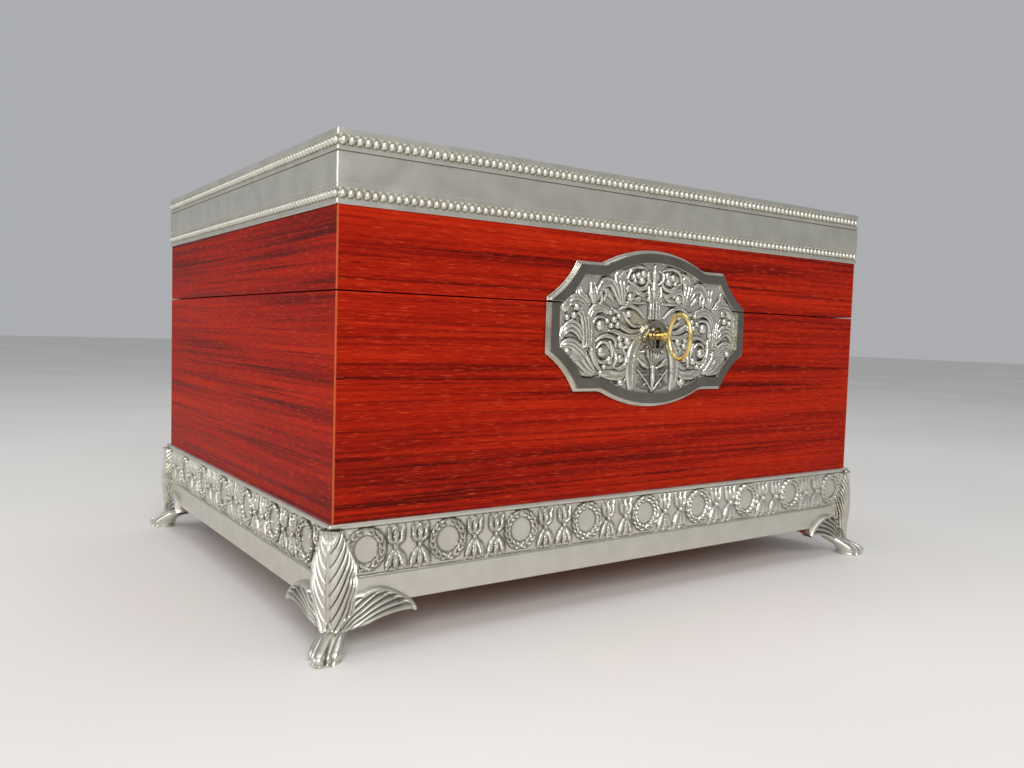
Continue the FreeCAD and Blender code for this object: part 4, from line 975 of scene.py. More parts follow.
@dataclass(frozen=True)
class BaseRails:
    """Cast rails round the foot of the case: ledge, frieze of wreaths and pendants, and plain band."""

    layout: Layout
    rebate: float = 1.5
    ledge: float = 2.0
    nose: float = 0.8
    band: float = 11.0
    lip: float = 1.1
    sink: float = 1.4
    edge: float = 0.22
    nose_steps: int = 10
    lip_steps: int = 7
    cell: float = 0.28
    grain: float = 0.015
    wreath_pitch: float = 34.25
    wreath_radius: float = 6.65
    wreath_half: float = 1.4
    wreath_margin: float = 0.6
    wreath_steps: int = 24
    wreath_leaves: int = 8
    # Degrees from the top of the ring: first leaf pair, and the run of one side.
    wreath_start: float = 178.0
    wreath_run: float = 168.0
    # Turn in radians and drift off the ring of the points of a laurel leaf, and its half widths.
    laurel: tuple[Point, ...] = ((0.0, 0.1), (0.2, 0.8), (0.43, 1.15))
    laurel_widths: tuple[float, ...] = (0.45, 0.78, 0.25)
    wreath_drop: float = 10.7
    side_shift: float = -10.9
    pendant_spacing: float = 10.0
    pendant_drop: float = 0.3
    pendant_low: Point = (-5.0, -8.8)
    pendant_high: Point = (5.0, 8.2)
    relief: float = 1.5
    # Heights as shares of the relief: ring of a wreath, its inner and outer leaves, body and middle of a
    # pendant.
    ring_share: float = 0.35
    leaf_shares: tuple[float, float] = (0.95, 1.15)
    body_share: float = 0.3
    middle_share: float = 1.2
    # Veins of a pendant: crease, spacing, depth, and the share of the relief over which they are cut.
    crease: float = 0.3
    ripple: tuple[float, float, float] = (0.95, 0.26, 0.5)
    knop: float = 1.1
    # Tarnish and painted shade of the frieze, painted shadow on the corner rows under the ledge; rows without
    # any over the band.
    frieze_tarnish_and_shade: float = 0.65
    ledge_shadow: float = 0.8
    corner_rows: int = 2
    clean_rows: int = 3

    def wreath(self) -> Relief:
        """Carve a laurel ring: two runs of overlapping leaf pairs that climb from its foot.

        Returns:
            The carving about the ring's middle.
        """
        reach = self.wreath_radius + self.wreath_half + self.wreath_margin
        tile = Relief((-reach, -reach), (reach, reach), self.cell)
        turns = np.linspace(0, 2 * math.pi, self.wreath_steps)
        ring = [(self.wreath_radius * math.sin(a), self.wreath_radius * math.cos(a)) for a in turns]
        tile.stroke(ring, (self.wreath_half, self.wreath_half), self.ring_share * self.relief)
        for hand in (-1, 1):
            for step in range(self.wreath_leaves):
                start = math.radians(self.wreath_start - step * self.wreath_run / self.wreath_leaves)
                for lean, share in zip((-1, 1), self.leaf_shares):
                    leaf = []
                    for turn, drift in self.laurel:
                        radius = self.wreath_radius + lean * drift
                        angle = start - turn
                        leaf.append((hand * radius * math.sin(angle), radius * math.cos(angle)))
                    tile.stroke(leaf, self.laurel_widths, self.relief * share)
        return tile

    def pendant(self) -> Relief:
        """Carve a tulip of veined petals over a knop over a bell flower with three pointed lobes.

        Returns:
            The carving about the knop.
        """
        tile = Relief(self.pendant_low, self.pendant_high, self.cell)
        height, middle = self.relief, self.middle_share * self.relief
        tile.stroke(((0, 0.9), (0, 3.2), (0, 5.4)), (1.0, 2.9, 2.2), self.body_share * height)
        for hand in (-1, 1):
            petal = ((hand * 0.4, 1.0), (hand * 2.3, 2.6), (hand * 2.6, 5.2), (hand * 3.3, 7.7))
            tile.stroke(petal, (0.6, 1.15, 1.1, 0.35), height)
            lobe = ((hand * 0.5, -1.2), (hand * 2.0, -3.4), (hand * 2.9, -5.8), (hand * 4.0, -8.3))
            tile.stroke(lobe, (0.8, 1.45, 1.45, 0.4), height)
        tile.stroke(((0, 1.0), (0, 4.2), (0, 7.8)), (0.7, 1.4, 0.35), middle, self.crease)
        lobe = ((0, -1.2), (0, -3.8), (0, -6.2), (0, -8.6))
        tile.stroke(lobe, (0.7, 1.3, 1.35, 0.35), middle, self.crease)
        pitch, depth, over = self.ripple
        tile.ripple(pitch, depth, over * height)
        tile.dome((0, 0), self.knop, middle)
        return tile

    def frieze(self, side: Side) -> Relief:
        """Carving of one rail.

        Args:
            side: The side.

        Returns:
            The carving, along the rail from end to end and from the band up to the ledge.
        """
        half = self.layout.half_span(side)
        low = self.layout.foot_height + self.band
        high = self.layout.base_top - self.ledge
        carving = Relief((-half, low), (half, high), self.cell)
        wreath, pendant = self.wreath(), self.pendant()
        middle = 0.0 if side.is_long else self.side_shift
        level = self.layout.base_top - self.wreath_drop
        count = math.ceil(half / self.wreath_pitch) + 1
        for step in range(-count, count + 1):
            place = middle + step * self.wreath_pitch
            if abs(place) < half:
                carving.stamp(wreath, (place, level))
            for end in (-1, 1):
                spot = place + (self.wreath_pitch + end * self.pendant_spacing) / 2
                if abs(spot) < half:
                    carving.stamp(pendant, (spot, level - self.pendant_drop))
        carving.roughen(self.grain)
        return carving

    def outline(self) -> tuple[np.ndarray, np.ndarray]:
        """Plain parts of the rail.

        Returns:
            The ledge from its back over its nose to the frieze, and the band from the frieze to its back.
        """
        front, ground = self.layout.rail_proud, self.layout.rail_proud - self.sink
        foot, top = self.layout.foot_height, self.layout.base_top
        low = foot + self.band
        turn = np.linspace(math.pi / 2, -math.pi / 2, self.nose_steps)
        half = self.ledge / 2
        nose_front = front - self.nose * (1 - np.cos(turn))
        nose = np.stack([nose_front, top - half + half * np.sin(turn)], axis=-1)
        above = np.vstack([[(-self.rebate, top)], nose, [(ground, top - self.ledge)]])
        below = np.array([(front, foot + self.edge), (front - self.edge, foot), (-self.rebate, foot)])
        turn = np.linspace(math.pi / 2, 0, self.lip_steps)
        lip_front = front - self.lip * (1 - np.cos(turn))
        lip = np.stack([lip_front, low - self.lip * (1 - np.sin(turn))], axis=-1)
        return above, np.vstack([lip, below])

    def build(self) -> None:
        """Show the four rails."""
        above, below = self.outline()
        for side in Side:
            carving = self.frieze(side)
            columns = len(carving.across)
            levels = np.repeat(carving.up[:, None], columns, axis=1)
            carved = np.stack([self.layout.rail_proud - self.sink + carving.heights, levels], axis=-1)
            plain = [np.repeat(rows[:, None, :], columns, axis=1) for rows in (above, below)]
            profile = np.concatenate([plain[0], carved[::-1], plain[1]])
            tarnish = np.zeros(profile.shape[:2])
            tarnish[len(above) : -len(below)] = self.frieze_tarnish_and_shade * carving.patina()[::-1]
            # Painted shadow under the nose of the ledge.
            tarnish[len(above) - self.corner_rows : len(above) + self.corner_rows] = self.ledge_shadow
            tarnish[-len(below) - self.clean_rows :] = 0.0
            moulding = Moulding(side, self.layout)
            strip = moulding.sweep(profile, carving.across / carving.across[-1])
            skin = Skin()
            skin.grid(strip[::-1], moulding.shade(tarnish)[::-1])
            skin.turned(side.turn)
            node = f"base_rail_{side.label}"
            name = f"{node}_carved"
            piece = publish(name, skin.mesh(name), Body.CASE, PEWTER_SATIN, (node,))
            finish_faces(piece, PEWTER_CAST, lambda spot: carving.up[0] < spot.z / MM < carving.up[-1])
            finish_faces(piece, PEWTER, lambda spot: -self.lip < spot.z / MM - carving.up[0] < 0)


@dataclass(frozen=True)
class LidRim:
    """Pewter rim of the lid: plain bands, two rows of beads in channels, and incised lines."""

    layout: Layout
    proud: float = 0.7
    rebate: float = 1.3
    lip: float = 6.0
    lip_thick: float = 2.0
    channel: float = 1.75
    bead: float = 1.47
    bead_stand: float = 0.3
    bead_pitch: float = 3.08
    upper_drop: float = 4.3
    lower_rise: float = 3.7
    upper_line: float = 7.8
    lower_line: float = 7.0
    edge: float = 0.25
    channel_tarnish: float = 0.6
    # Shares: tarnish at the edge of a groove, and half width of its floor.
    groove_edge: float = 0.3
    groove_floor: float = 0.6
    # Rounding of the top edge at its middle, as a share of the edge.
    top_round: float = 0.6
    ball_rings: int = 9
    ball_turns: int = 14
    columns: int = 60

    def groove(
        self, level: float, half: float, depth: float, tarnish: float
    ) -> list[tuple[float, float, float]]:
        """Rows of the profile across a groove.

        Args:
            level: Middle of the groove.
            half: Half its width.
            depth: Its depth below the band.
            tarnish: Tarnish of its floor.

        Returns:
            Distance in front of the wood, level and tarnish, from the top down.
        """
        soft = min(self.edge, depth)
        upper = [
            (self.proud, level + half + soft, 0.0),
            (self.proud - soft, level + half, self.groove_edge * tarnish),
            (self.proud - depth, level + self.groove_floor * half, tarnish),
        ]
        return upper + [(proud, 2 * level - z, dark) for proud, z, dark in reversed(upper)]

    def profile(self) -> tuple[np.ndarray, np.ndarray]:
        """Outline of the strip from the inner edge of its lip, over the top and down the front.

        Returns:
            Distance in front of the wood and level of each row, and the tarnish of each row.
        """
        top, foot, out = self.layout.top, self.layout.rim_low, self.proud
        rounded = self.top_round * self.edge
        rows = [
            (-self.lip, top - self.lip_thick, 0),
            (-self.lip, top, 0),
            (out - 2 * self.edge, top, 0),
            (out - rounded, top - rounded, 0),
            (out, top - 2 * self.edge, 0),
        ]
        rows += self.groove(top - self.upper_drop, self.channel, out, self.channel_tarnish)
        rows += self.groove(top - self.upper_line, half=0.25, depth=0.3, tarnish=0.8)
        rows += self.groove(foot + self.lower_line, half=0.3, depth=0.12, tarnish=0.0)
        rows += self.groove(foot + self.lower_rise, self.channel, out, self.channel_tarnish)
        rows += [(out, foot + self.edge, 0), (out - self.edge, foot, 0), (-self.rebate, foot, 0)]
        table = np.array(rows)
        return table[:, :2], table[:, 2]

    def beads(self, side: Side, level: float) -> np.ndarray:
        """Middles of one row of beads, drawn along the front.

        Args:
            side: Side of the lid.
            level: Level of the row.

        Returns:
            One row of coordinates for each bead.
        """
        half = self.layout.half_span(side)
        count = round(2 * half / self.bead_pitch)
        x = (np.arange(count) + 0.5) / count * 2 * half - half
        y = np.full(count, -self.layout.half_reach(side) - self.bead_stand)
        return np.stack([x, y, np.full(count, level)], axis=-1)

    def build(self) -> None:
        """Show the four strips with their beads."""
        outline, tarnish = self.profile()
        rings = np.linspace(0, math.pi, self.ball_rings)[:, None]
        turns = np.linspace(0, 2 * math.pi, self.ball_turns, endpoint=False)
        wide, tall = np.sin(rings) * np.cos(turns), np.sin(rings) * np.sin(turns)
        ball = self.bead * np.stack([wide, -np.cos(rings) * np.ones_like(turns), tall], axis=-1)
        for side in Side:
            along = np.linspace(-1, 1, self.columns)
            moulding = Moulding(side, self.layout)
            shade = moulding.shade(np.repeat(tarnish[:, None], len(along), axis=1))
            skin = Skin()
            skin.grid(moulding.sweep(outline, along)[::-1], shade[::-1])
            for level in (self.layout.top - self.upper_drop, self.layout.rim_low + self.lower_rise):
                for middle in self.beads(side, level):
                    skin.grid(ball + middle, closed=True)
            skin.turned(side.turn)
            node = f"lid_rim_{side.label}"
            name = f"{node}_beaded"
            publish(name, skin.mesh(name), Body.LID, PEWTER_SATIN, (node,))


@dataclass(frozen=True)
class Leaf:
    """One stem, petal or vein of the cartouche's foliage, on the right half."""

    points: tuple[Point, ...]
    widths: tuple[float, ...]
    height: float = 1.5
    vein: float = 0.0
    tone: float = 0.0

    def carve(self, carving: Relief) -> None:
        """Raise it in a carving."""
        carving.stroke(self.points, self.widths, self.height, self.vein, self.tone)


@dataclass(frozen=True)
class Fan:
    """A leaf of several strands side by side between two edges, on the right half."""

    first: tuple[Point, ...]
    last: tuple[Point, ...]
    strands: int
    widths: tuple[float, ...]
    height: float = 1.6
    # Shares of the height: the body under the strands, and the fall towards the outer strands.
    body_share: float = 0.68
    fall: float = 0.25

    def carve(self, carving: Relief) -> None:
        """Raise it in a carving.

        Args:
            carving: The carving.
        """
        first, last = np.array(self.first), np.array(self.last)
        body = np.hypot(*(last - first).T) / 2 + 0.5 * np.array(self.widths)
        carving.stroke((first + last) / 2, body, self.body_share * self.height)
        for share in np.linspace(0, 1, self.strands):
            rise = self.height * (1 - self.fall * abs(share - 0.5))
            carving.stroke(first + (last - first) * share, self.widths, rise)


@dataclass(frozen=True)
class Berry:
    """One ball of the cartouche's foliage, on the right half."""

    middle: Point
    radius: float
    height: float = 1.7

    def carve(self, carving: Relief) -> None:
        """Raise it in a carving."""
        carving.dome(self.middle, self.radius, self.height)


# Darkening of some faces of the foliage: the fluted calyx by a set share, and the ivy leaf as a painted
# reflection of dark surroundings.
CALYX_TONE = 0.35
IVY_PAINTED_DARK = 0.6
# Foliage of the cartouche, in millimetres from its middle, drawn and mirrored to the left.
FOLIAGE: tuple[Leaf | Fan | Berry, ...] = (
    # Stem and bud over the boss
    Fan(((1.0, 4.6), (1.0, 8.5), (1.0, 12.5)), ((2.7, 4.6), (2.6, 8.5), (2.4, 12.5)), 2, (0.9, 0.9, 0.8),
        1.5),
    Leaf(((0, 12.5), (0, 16.6), (0, 21.4)), (1.4, 2.5, 1.0), 1.9, 0.35),
    Leaf(((0, 20.4), (0, 24.2), (0, 27.8)), (1.3, 2.0, 0.5), 1.6, 0.3),
    Leaf(((1.4, 12.6), (3.5, 14.8), (3.6, 18.6)), (0.8, 1.1, 0.3)),
    Berry((3.4, 12.8), 1.3, 1.4),
    Leaf(((1.8, 19.4), (4.3, 21.4), (4.6, 24.2), (2.9, 25.4)), (0.5, 1.0, 1.0, 0.4)),
    # Scroll with a lobed flower beside the bud
    Leaf(((16.6, 21.2), (14.8, 25.0), (11.0, 26.8), (7.0, 26.4), (4.9, 25.6)), (0.6, 1.0, 1.1, 0.9, 0.4),
         1.5),
    Leaf(((4.0, 20.6), (6.0, 18.0), (9.6, 17.2), (13.4, 19.0), (16.0, 20.4)), (0.5, 1.1, 1.2, 1.0, 0.4),
         1.5),
    Leaf(((3.6, 16.4), (7.4, 14.8), (11.4, 16.4), (15.4, 17.6), (18.0, 15.4)), (0.4, 1.2, 1.3, 1.1, 0.4),
         1.4, 0.3),
    Berry((10.6, 22.8), 1.7, 2.0),
    Berry((8.2, 20.8), 1.9, 1.8),
    Berry((13.0, 22.2), 1.5, 1.6),
    Berry((7.2, 23.6), 1.8, 1.7),
    Berry((12.2, 20.4), 1.3, 1.5),
    Berry((14.6, 13.2), 2.1, 1.9),
    Leaf(((17.8, 12.2), (17.2, 15.4), (14.0, 16.2), (11.8, 14.2)), (0.5, 0.8, 0.9, 0.4), 1.3),
    Leaf(((12.4, 12.0), (9.4, 12.8), (6.2, 14.0)), (0.8, 1.3, 0.3), 1.3, 0.25),
    Leaf(((16.4, 10.9), (10.4, 11.1), (5.0, 11.2)), (0.7, 0.9, 0.4), 1.3),
    # Tall leaf and the arch that springs from its foot
    Fan(((18.0, 10.2), (18.4, 15.0), (18.8, 19.0), (17.4, 22.4)),
        ((19.8, 10.2), (21.6, 15.0), (23.2, 19.6), (23.4, 22.4)),
        3, (0.7, 1.0, 1.2, 0.4), 1.7),
    Leaf(((21.4, 21.6), (19.2, 23.8), (15.6, 25.6)), (0.9, 1.0, 0.3)),
    Fan(((20.6, 10.8), (23.6, 14.8), (25.4, 17.4), (27.6, 18.0), (29.8, 16.8), (32.0, 13.6), (33.2, 10.8)),
        ((19.8, 12.2), (22.6, 16.4), (25.0, 19.6), (28.2, 20.6), (31.2, 19.0), (33.6, 14.8), (34.6, 11.4)),
        2, (0.6, 0.85, 1.0, 1.05, 0.95, 0.8, 0.4), 1.6),
    Leaf(((23.6, 11.4), (25.8, 13.4), (27.8, 16.6)), (0.5, 1.4, 0.5), 1.2, 0.25),
    Leaf(((29.6, 16.4), (28.6, 14.4), (29.4, 11.4)), (0.9, 0.9, 0.4), 1.3),
    Leaf(((31.6, 14.6), (30.8, 12.2), (31.0, 9.8)), (0.8, 0.9, 0.4), 1.2),
    # Lily bud and the leaves of the upper corner
    Leaf(((34.8, 9.8), (36.2, 13.6), (36.8, 18.4)), (1.1, 2.0, 0.4), 1.8, 0.35),
    Leaf(((34.2, 10.6), (33.9, 14.4), (34.8, 18.2)), (0.5, 0.9, 0.3), 1.4),
    Fan(((37.2, 9.6), (39.6, 12.2), (42.0, 14.2), (43.0, 17.6)),
        ((38.6, 8.8), (41.8, 10.8), (44.8, 13.0), (44.4, 16.6)),
        3, (0.6, 1.0, 1.0, 0.3), 1.6),
    Fan(((38.0, 9.0), (42.0, 12.4), (46.6, 12.6), (49.8, 9.8)),
        ((39.4, 7.4), (43.2, 9.8), (47.4, 9.2), (50.6, 5.8)),
        3, (0.6, 1.0, 1.0, 0.35), 1.6),
    Berry((44.2, 8.0), 1.7, 1.6),
    Berry((45.8, 4.4), 1.5, 1.6),
    Berry((49.4, 3.4), 1.3, 1.5),
    Leaf(((40.6, 2.8), (42.6, 5.0), (44.8, 5.4)), (0.5, 0.9, 0.4), 1.3),
    # Stalk of thin ribs with a knot, and the leaf that curls from its inner side
    Fan(((36.4, -8.0), (36.2, -2.0), (37.0, 3.4), (38.2, 9.0)),
        ((40.2, -8.0), (40.6, -2.0), (41.4, 3.0), (43.4, 7.2)),
        4, (0.75, 0.85, 0.8, 0.3), 1.6),
    Leaf(((35.6, -8.8), (38.2, -8.0), (41.0, -9.0)), (0.7, 1.0, 0.7), 1.9),
    Fan(((36.6, -3.0), (37.0, 1.0), (35.2, 5.2), (31.4, 7.0), (27.4, 5.6)),
        ((37.8, -1.0), (38.4, 3.0), (36.6, 7.4), (32.0, 9.6), (26.8, 8.6)), 3, (0.6, 0.9, 1.0, 0.95, 0.3),
        1.6),
    Leaf(((35.4, -2.8), (35.6, 1.2), (33.6, 3.9), (30.4, 4.3), (27.8, 3.4)), (0.6, 0.9, 1.0, 0.8, 0.3),
         1.4),
    Berry((31.4, 0.6), 2.2, 1.9),
    Berry((25.8, 6.2), 1.2, 1.4),
    Berry((27.4, 2.6), 1.2, 1.3),
    # Drooping leaves at the end of the plate
    Fan(((40.6, -3.4), (43.0, 0.4), (46.6, 2.0), (50.2, 0.2), (51.8, -3.2)),
        ((41.6, -5.6), (44.4, -2.8), (47.4, -1.6), (49.8, -3.0), (51.6, -5.4)), 3,
        (0.6, 0.95, 1.05, 0.9, 0.3), 1.6),
    Fan(((39.0, -10.2), (42.4, -7.8), (46.4, -5.8), (50.4, -6.4), (52.4, -9.0)),
        ((39.8, -13.2), (43.2, -11.0), (46.8, -8.8), (49.6, -8.6), (51.0, -10.2)), 3,
        (0.6, 1.0, 1.1, 0.9, 0.3), 1.6),
    Berry((48.8, -10.9), 1.9, 1.8),
    # Blades in the lower corner
    Fan(((33.4, -18.8), (36.2, -15.8), (38.4, -12.6), (40.2, -9.8)),
        ((35.4, -20.6), (40.6, -19.6), (44.6, -17.0), (47.0, -13.4)),
        4, (0.8, 1.25, 1.3, 0.45), 1.7),
    Leaf(((30.6, -21.2), (36.0, -22.2), (41.4, -22.0)), (0.6, 0.9, 0.3), 1.1),
    # Spiral with its ball and lobes
    Leaf(((35.2, -5.2), (35.2, -11.0), (33.2, -15.6), (29.8, -18.6)), (1.2, 1.8, 1.5, 0.6), 1.8, 0.35),
    Leaf(((33.8, -6.2), (30.0, -4.0), (26.0, -3.8), (22.8, -5.4), (21.8, -8.6)), (0.5, 1.0, 1.1, 1.0, 0.4),
         1.5, 0.25),
    Leaf(((33.0, -9.0), (30.8, -6.6), (27.6, -6.6), (25.6, -9.0)), (0.4, 0.9, 0.9, 0.4), 1.4),
    Berry((30.4, -10.8), 2.3, 2.0),
    Leaf(((33.6, -12.0), (31.4, -14.6), (28.0, -14.8), (26.0, -12.6)), (0.6, 1.0, 1.0, 0.4), 1.6),
    Leaf(((25.4, -6.4), (24.2, -9.4), (23.8, -12.6)), (0.8, 1.2, 0.6), 1.5),
    Leaf(((22.6, -10.2), (21.8, -13.4), (22.8, -16.6)), (0.6, 1.3, 0.5), 1.6),
    Berry((25.6, -14.4), 1.8, 1.7),
    Berry((28.4, -17.0), 1.3, 1.5),
    # Hook leaf and its ball, and the double scroll along the foot
    Leaf(((17.4, -9.4), (15.6, -12.6), (16.6, -16.0), (19.8, -17.7), (22.8, -17.0)),
         (0.5, 1.1, 1.4, 1.1, 0.3), 1.6, 0.3),
    Berry((19.4, -13.4), 1.7, 1.7),
    Fan(((15.0, -17.6), (18.8, -19.4), (23.6, -19.4), (28.2, -18.6)),
        ((15.4, -19.8), (19.0, -21.7), (24.6, -21.8), (30.4, -20.8)),
        2, (0.6, 1.05, 1.15, 0.4), 1.6),
    Berry((18.8, -24.0), 1.8, 1.7),
    Leaf(((15.8, -22.4), (18.4, -25.9), (21.8, -25.0), (24.0, -23.4)), (0.4, 0.8, 0.9, 0.3), 1.3),
    # Eye-shaped ring with its ball
    Leaf(((6.0, 4.6), (9.6, 7.8), (13.6, 9.5), (17.4, 9.3), (20.8, 7.6)), (0.6, 1.0, 1.1, 1.0, 0.5), 1.5),
    Leaf(((8.0, 0.8), (12.4, 1.0), (15.8, 3.2), (17.8, 6.4)), (0.6, 0.8, 0.9, 0.4), 1.3),
    Berry((15.2, 5.9), 1.8, 1.8),
    # Lobed leaves beside the boss
    Leaf(((8.4, -0.9), (13.6, -1.5), (18.4, 0.2), (21.8, 2.6)), (0.7, 1.2, 1.5, 0.8), 1.5, 0.3),
    Berry((21.4, 0.8), 1.5, 1.6),
    Berry((23.6, 3.2), 1.5, 1.6),
    Berry((21.0, 4.8), 1.3, 1.5),
    Berry((25.0, 0.6), 1.3, 1.4),
    Leaf(((20.2, 6.8), (22.4, 6.9), (24.8, 8.0)), (0.8, 1.1, 0.4), 1.4),
    Leaf(((8.2, -2.6), (13.0, -3.7), (17.8, -3.4), (22.0, -1.9), (25.8, -1.4)), (0.7, 1.2, 1.4, 1.2, 0.5),
         1.6, 0.3),
    Berry((15.4, -5.8), 2.0, 1.8),
    Berry((20.0, -4.8), 1.5, 1.5),
    Berry((19.4, -7.6), 1.6, 1.6),
    Leaf(((12.2, -6.6), (15.8, -8.2), (19.0, -9.6)), (0.5, 1.0, 0.3), 1.3),
    # Double stems beside the ivy leaf
    Fan(((7.4, -5.4), (10.6, -9.8), (11.9, -15.0), (12.1, -20.6), (11.4, -26.2)),
        ((9.6, -3.8), (13.2, -8.2), (14.9, -14.0), (15.0, -20.0), (13.4, -27.0)),
        2, (0.8, 1.3, 1.4, 1.3, 0.6), 1.8),
    # Fluted calyx under the boss
    Leaf(((0, -9.4), (0, -13.0), (0, -17.2)), (0.8, 0.8, 0.3), 1.6, tone=CALYX_TONE),
    Leaf(((1.7, -9.4), (1.3, -13.0), (0.4, -16.8)), (0.75, 0.75, 0.3), 1.5, tone=CALYX_TONE),
    Leaf(((3.5, -9.3), (2.9, -12.4), (0.9, -16.0)), (0.75, 0.75, 0.3), 1.4, tone=CALYX_TONE),
    Leaf(((4.6, -9.0), (6.2, -10.2), (7.4, -10.0)), (0.6, 0.8, 0.3), 1.3),
    # Ivy leaf: lobes darkened as a painted reflection of dark surroundings, a bright midrib, and veins that
    # meet at its lower tip
    Leaf(((0.4, -27.8), (3.2, -23.2), (7.0, -18.6), (9.6, -16.8)), (0.5, 3.0, 2.6, 0.5), 0.9,
         tone=IVY_PAINTED_DARK),
    Leaf(((1.4, -26.4), (5.0, -24.4), (9.4, -25.0)), (1.0, 2.4, 0.4), 0.85, tone=IVY_PAINTED_DARK),
    Leaf(((1.0, -22.0), (3.0, -19.4), (4.6, -17.6)), (1.6, 2.0, 0.8), 0.85, tone=IVY_PAINTED_DARK),
    Leaf(((0, -17.0), (0, -20.4), (0, -27.8)), (1.2, 1.5, 0.4), 2.0),
    Leaf(((0.6, -27.0), (4.0, -23.2), (8.8, -18.4)), (0.45, 0.5, 0.4), 1.5),
    Leaf(((3.4, -23.8), (4.9, -24.6), (5.4, -26.0)), (0.4, 0.4, 0.25), 1.3),
    Leaf(((6.6, -20.6), (4.8, -20.2), (3.0, -20.8)), (0.4, 0.4, 0.25), 1.3),
    Leaf(((2.6, -17.4), (5.4, -16.0), (8.6, -13.4)), (0.6, 1.2, 0.35), 1.7),
)


@dataclass(frozen=True)
class Escutcheon:
    """Cartouche in two halves with acanthus foliage, and the keyhole boss."""

    layout: Layout
    # Outline of the plate, as in the CAD part.
    width: float = 119.4
    side: float = 23.0
    shoulder_width: float = 89.0
    shoulder_height: float = 54.6
    scoop: float = 38.0
    arch: float = 68.0
    height: float = 69.0
    field_thick: float = 1.3
    frame_width: float = 5.8
    tuck: float = 1.0
    cell: float = 0.22
    stipple: float = 0.05
    # Half the gap between the halves of the foliage.
    split: float = 0.04
    edge: float = 0.42
    edge_steps: int = 3
    # Painted shadow along the inside of the frame: how far it reaches into the field, its blur in cells, and
    # its darkness.
    shadow_reach: float = 0.3
    shadow_blur: int = 4
    shadow: float = 0.9
    boss_edge: float = 0.35
    boss_steps: int = 4
    # Faces this close to the front of the frame are its flat.
    flat: float = 0.01

    def middle(self) -> float:
        """Level of the middle of the plate."""
        return float(box_mm("escutcheon_lower")[0][2] + self.height / 2)

    def inside(self, u: np.ndarray, v: np.ndarray, inset: float) -> np.ndarray:
        """Places within the plate's outline.

        Args:
            u: Places across the plate from its middle.
            v: Places up the plate from its middle.
            inset: How far in from the outline.

        Returns:
            True for those inside.
        """
        x, z = np.abs(u), np.abs(v)
        arch_level = np.sqrt(np.clip(self.arch**2 - x**2, 0, None)) - self.arch + self.height / 2
        top = np.maximum(arch_level, self.shoulder_height / 2)
        start = np.array((self.width / 2, self.side / 2))
        end = np.array((self.shoulder_width / 2, self.shoulder_height / 2))
        chord = end - start
        length = np.hypot(*chord)
        away = np.array((-chord[1], chord[0])) / length
        centre = (start + end) / 2 - away * math.sqrt(self.scoop**2 - (length / 2) ** 2)
        scooped = np.hypot(x - centre[0], z - centre[1]) > self.scoop + inset
        return (x < self.width / 2 - inset) & (z < top - inset) & scooped

    def foliage(self) -> Relief:
        """Carve the field.

        Returns:
            The carving about the plate's middle.
        """
        half_width = round((self.width / 2 - self.frame_width + self.tuck) / self.cell) * self.cell
        half_height = round((self.height / 2 - self.frame_width + self.tuck) / self.cell) * self.cell
        carving = Relief((-half_width, -half_height), (half_width, half_height), self.cell)
        for item in FOLIAGE:
            item.carve(carving)
        carving.mirror()
        carving.roughen(self.stipple)
        return carving

    def build(self) -> None:
        """Show both halves and the boss."""
        carving = self.foliage()
        u, v = np.meshgrid(carving.across, carving.up)
        level = v + self.middle()
        field_face = -self.layout.half_depth - self.field_thick
        front_face = field_face - self.stipple - carving.heights
        keep = self.inside(u, v, self.frame_width - self.tuck)
        # Painted shadow of the frame along the edge of the field.
        open_field = self.inside(u, v, self.frame_width + self.shadow_reach).astype(float)
        frame_shadow = 1 - blurred(open_field, self.shadow_blur)
        shade = np.clip(carving.patina() + self.shadow * frame_shadow, 0, 1)
        seam = self.layout.seam
        halves = (
            ("lower", Body.CASE, np.minimum(level, seam - self.split), level < seam + self.cell),
            ("upper", Body.LID, np.maximum(level, seam + self.split), level > seam - self.cell),
        )
        for half, body, trimmed, part in halves:
            skin = Skin()
            skin.grid(np.stack([u, front_face, trimmed], axis=-1), shade, keep & part)
            name = f"escutcheon_{half}_foliage"
            publish(name, skin.mesh(name), body, PEWTER, sharp=70.0)
            piece = dressed(f"escutcheon_{half}", body, PEWTER, self.edge, self.edge_steps)
            front = float(box_mm(f"escutcheon_{half}")[0][1]) * MM
            # The front flats of the frame take the darker pewter, a painted dark reflection.
            finish_faces(piece, PEWTER_FRAME_DARKENED, lambda spot: spot.y < front + self.flat * MM)
        # Boss in the darker pewter, a painted dark reflection.
        dressed("keyhole_boss", Body.CASE, PEWTER_BOSS_DARKENED, self.boss_edge, self.boss_steps)


# Level, half width and front of one section through a foot.
Section = tuple[float, float, float]
# Step in millimetres of the smooth line through such sections.
SECTION_STEP = 0.1


def sections(table: Sequence[Section], rows: int) -> tuple[np.ndarray, np.ndarray, np.ndarray]:
    """Spread sections smoothly over a number of levels.

    Args:
        table: The known sections, from the top down.
        rows: Number of levels.

    Returns:
        Levels, half widths and fronts from the foot up, as columns.
    """
    line = path(np.array(table)[::-1], SECTION_STEP)
    level = np.linspace(line[0, 0], line[-1, 0], rows)
    half, front = (np.interp(level, line[:, 0], line[:, k]) for k in (1, 2))
    return level[:, None], half[:, None], front[:, None]


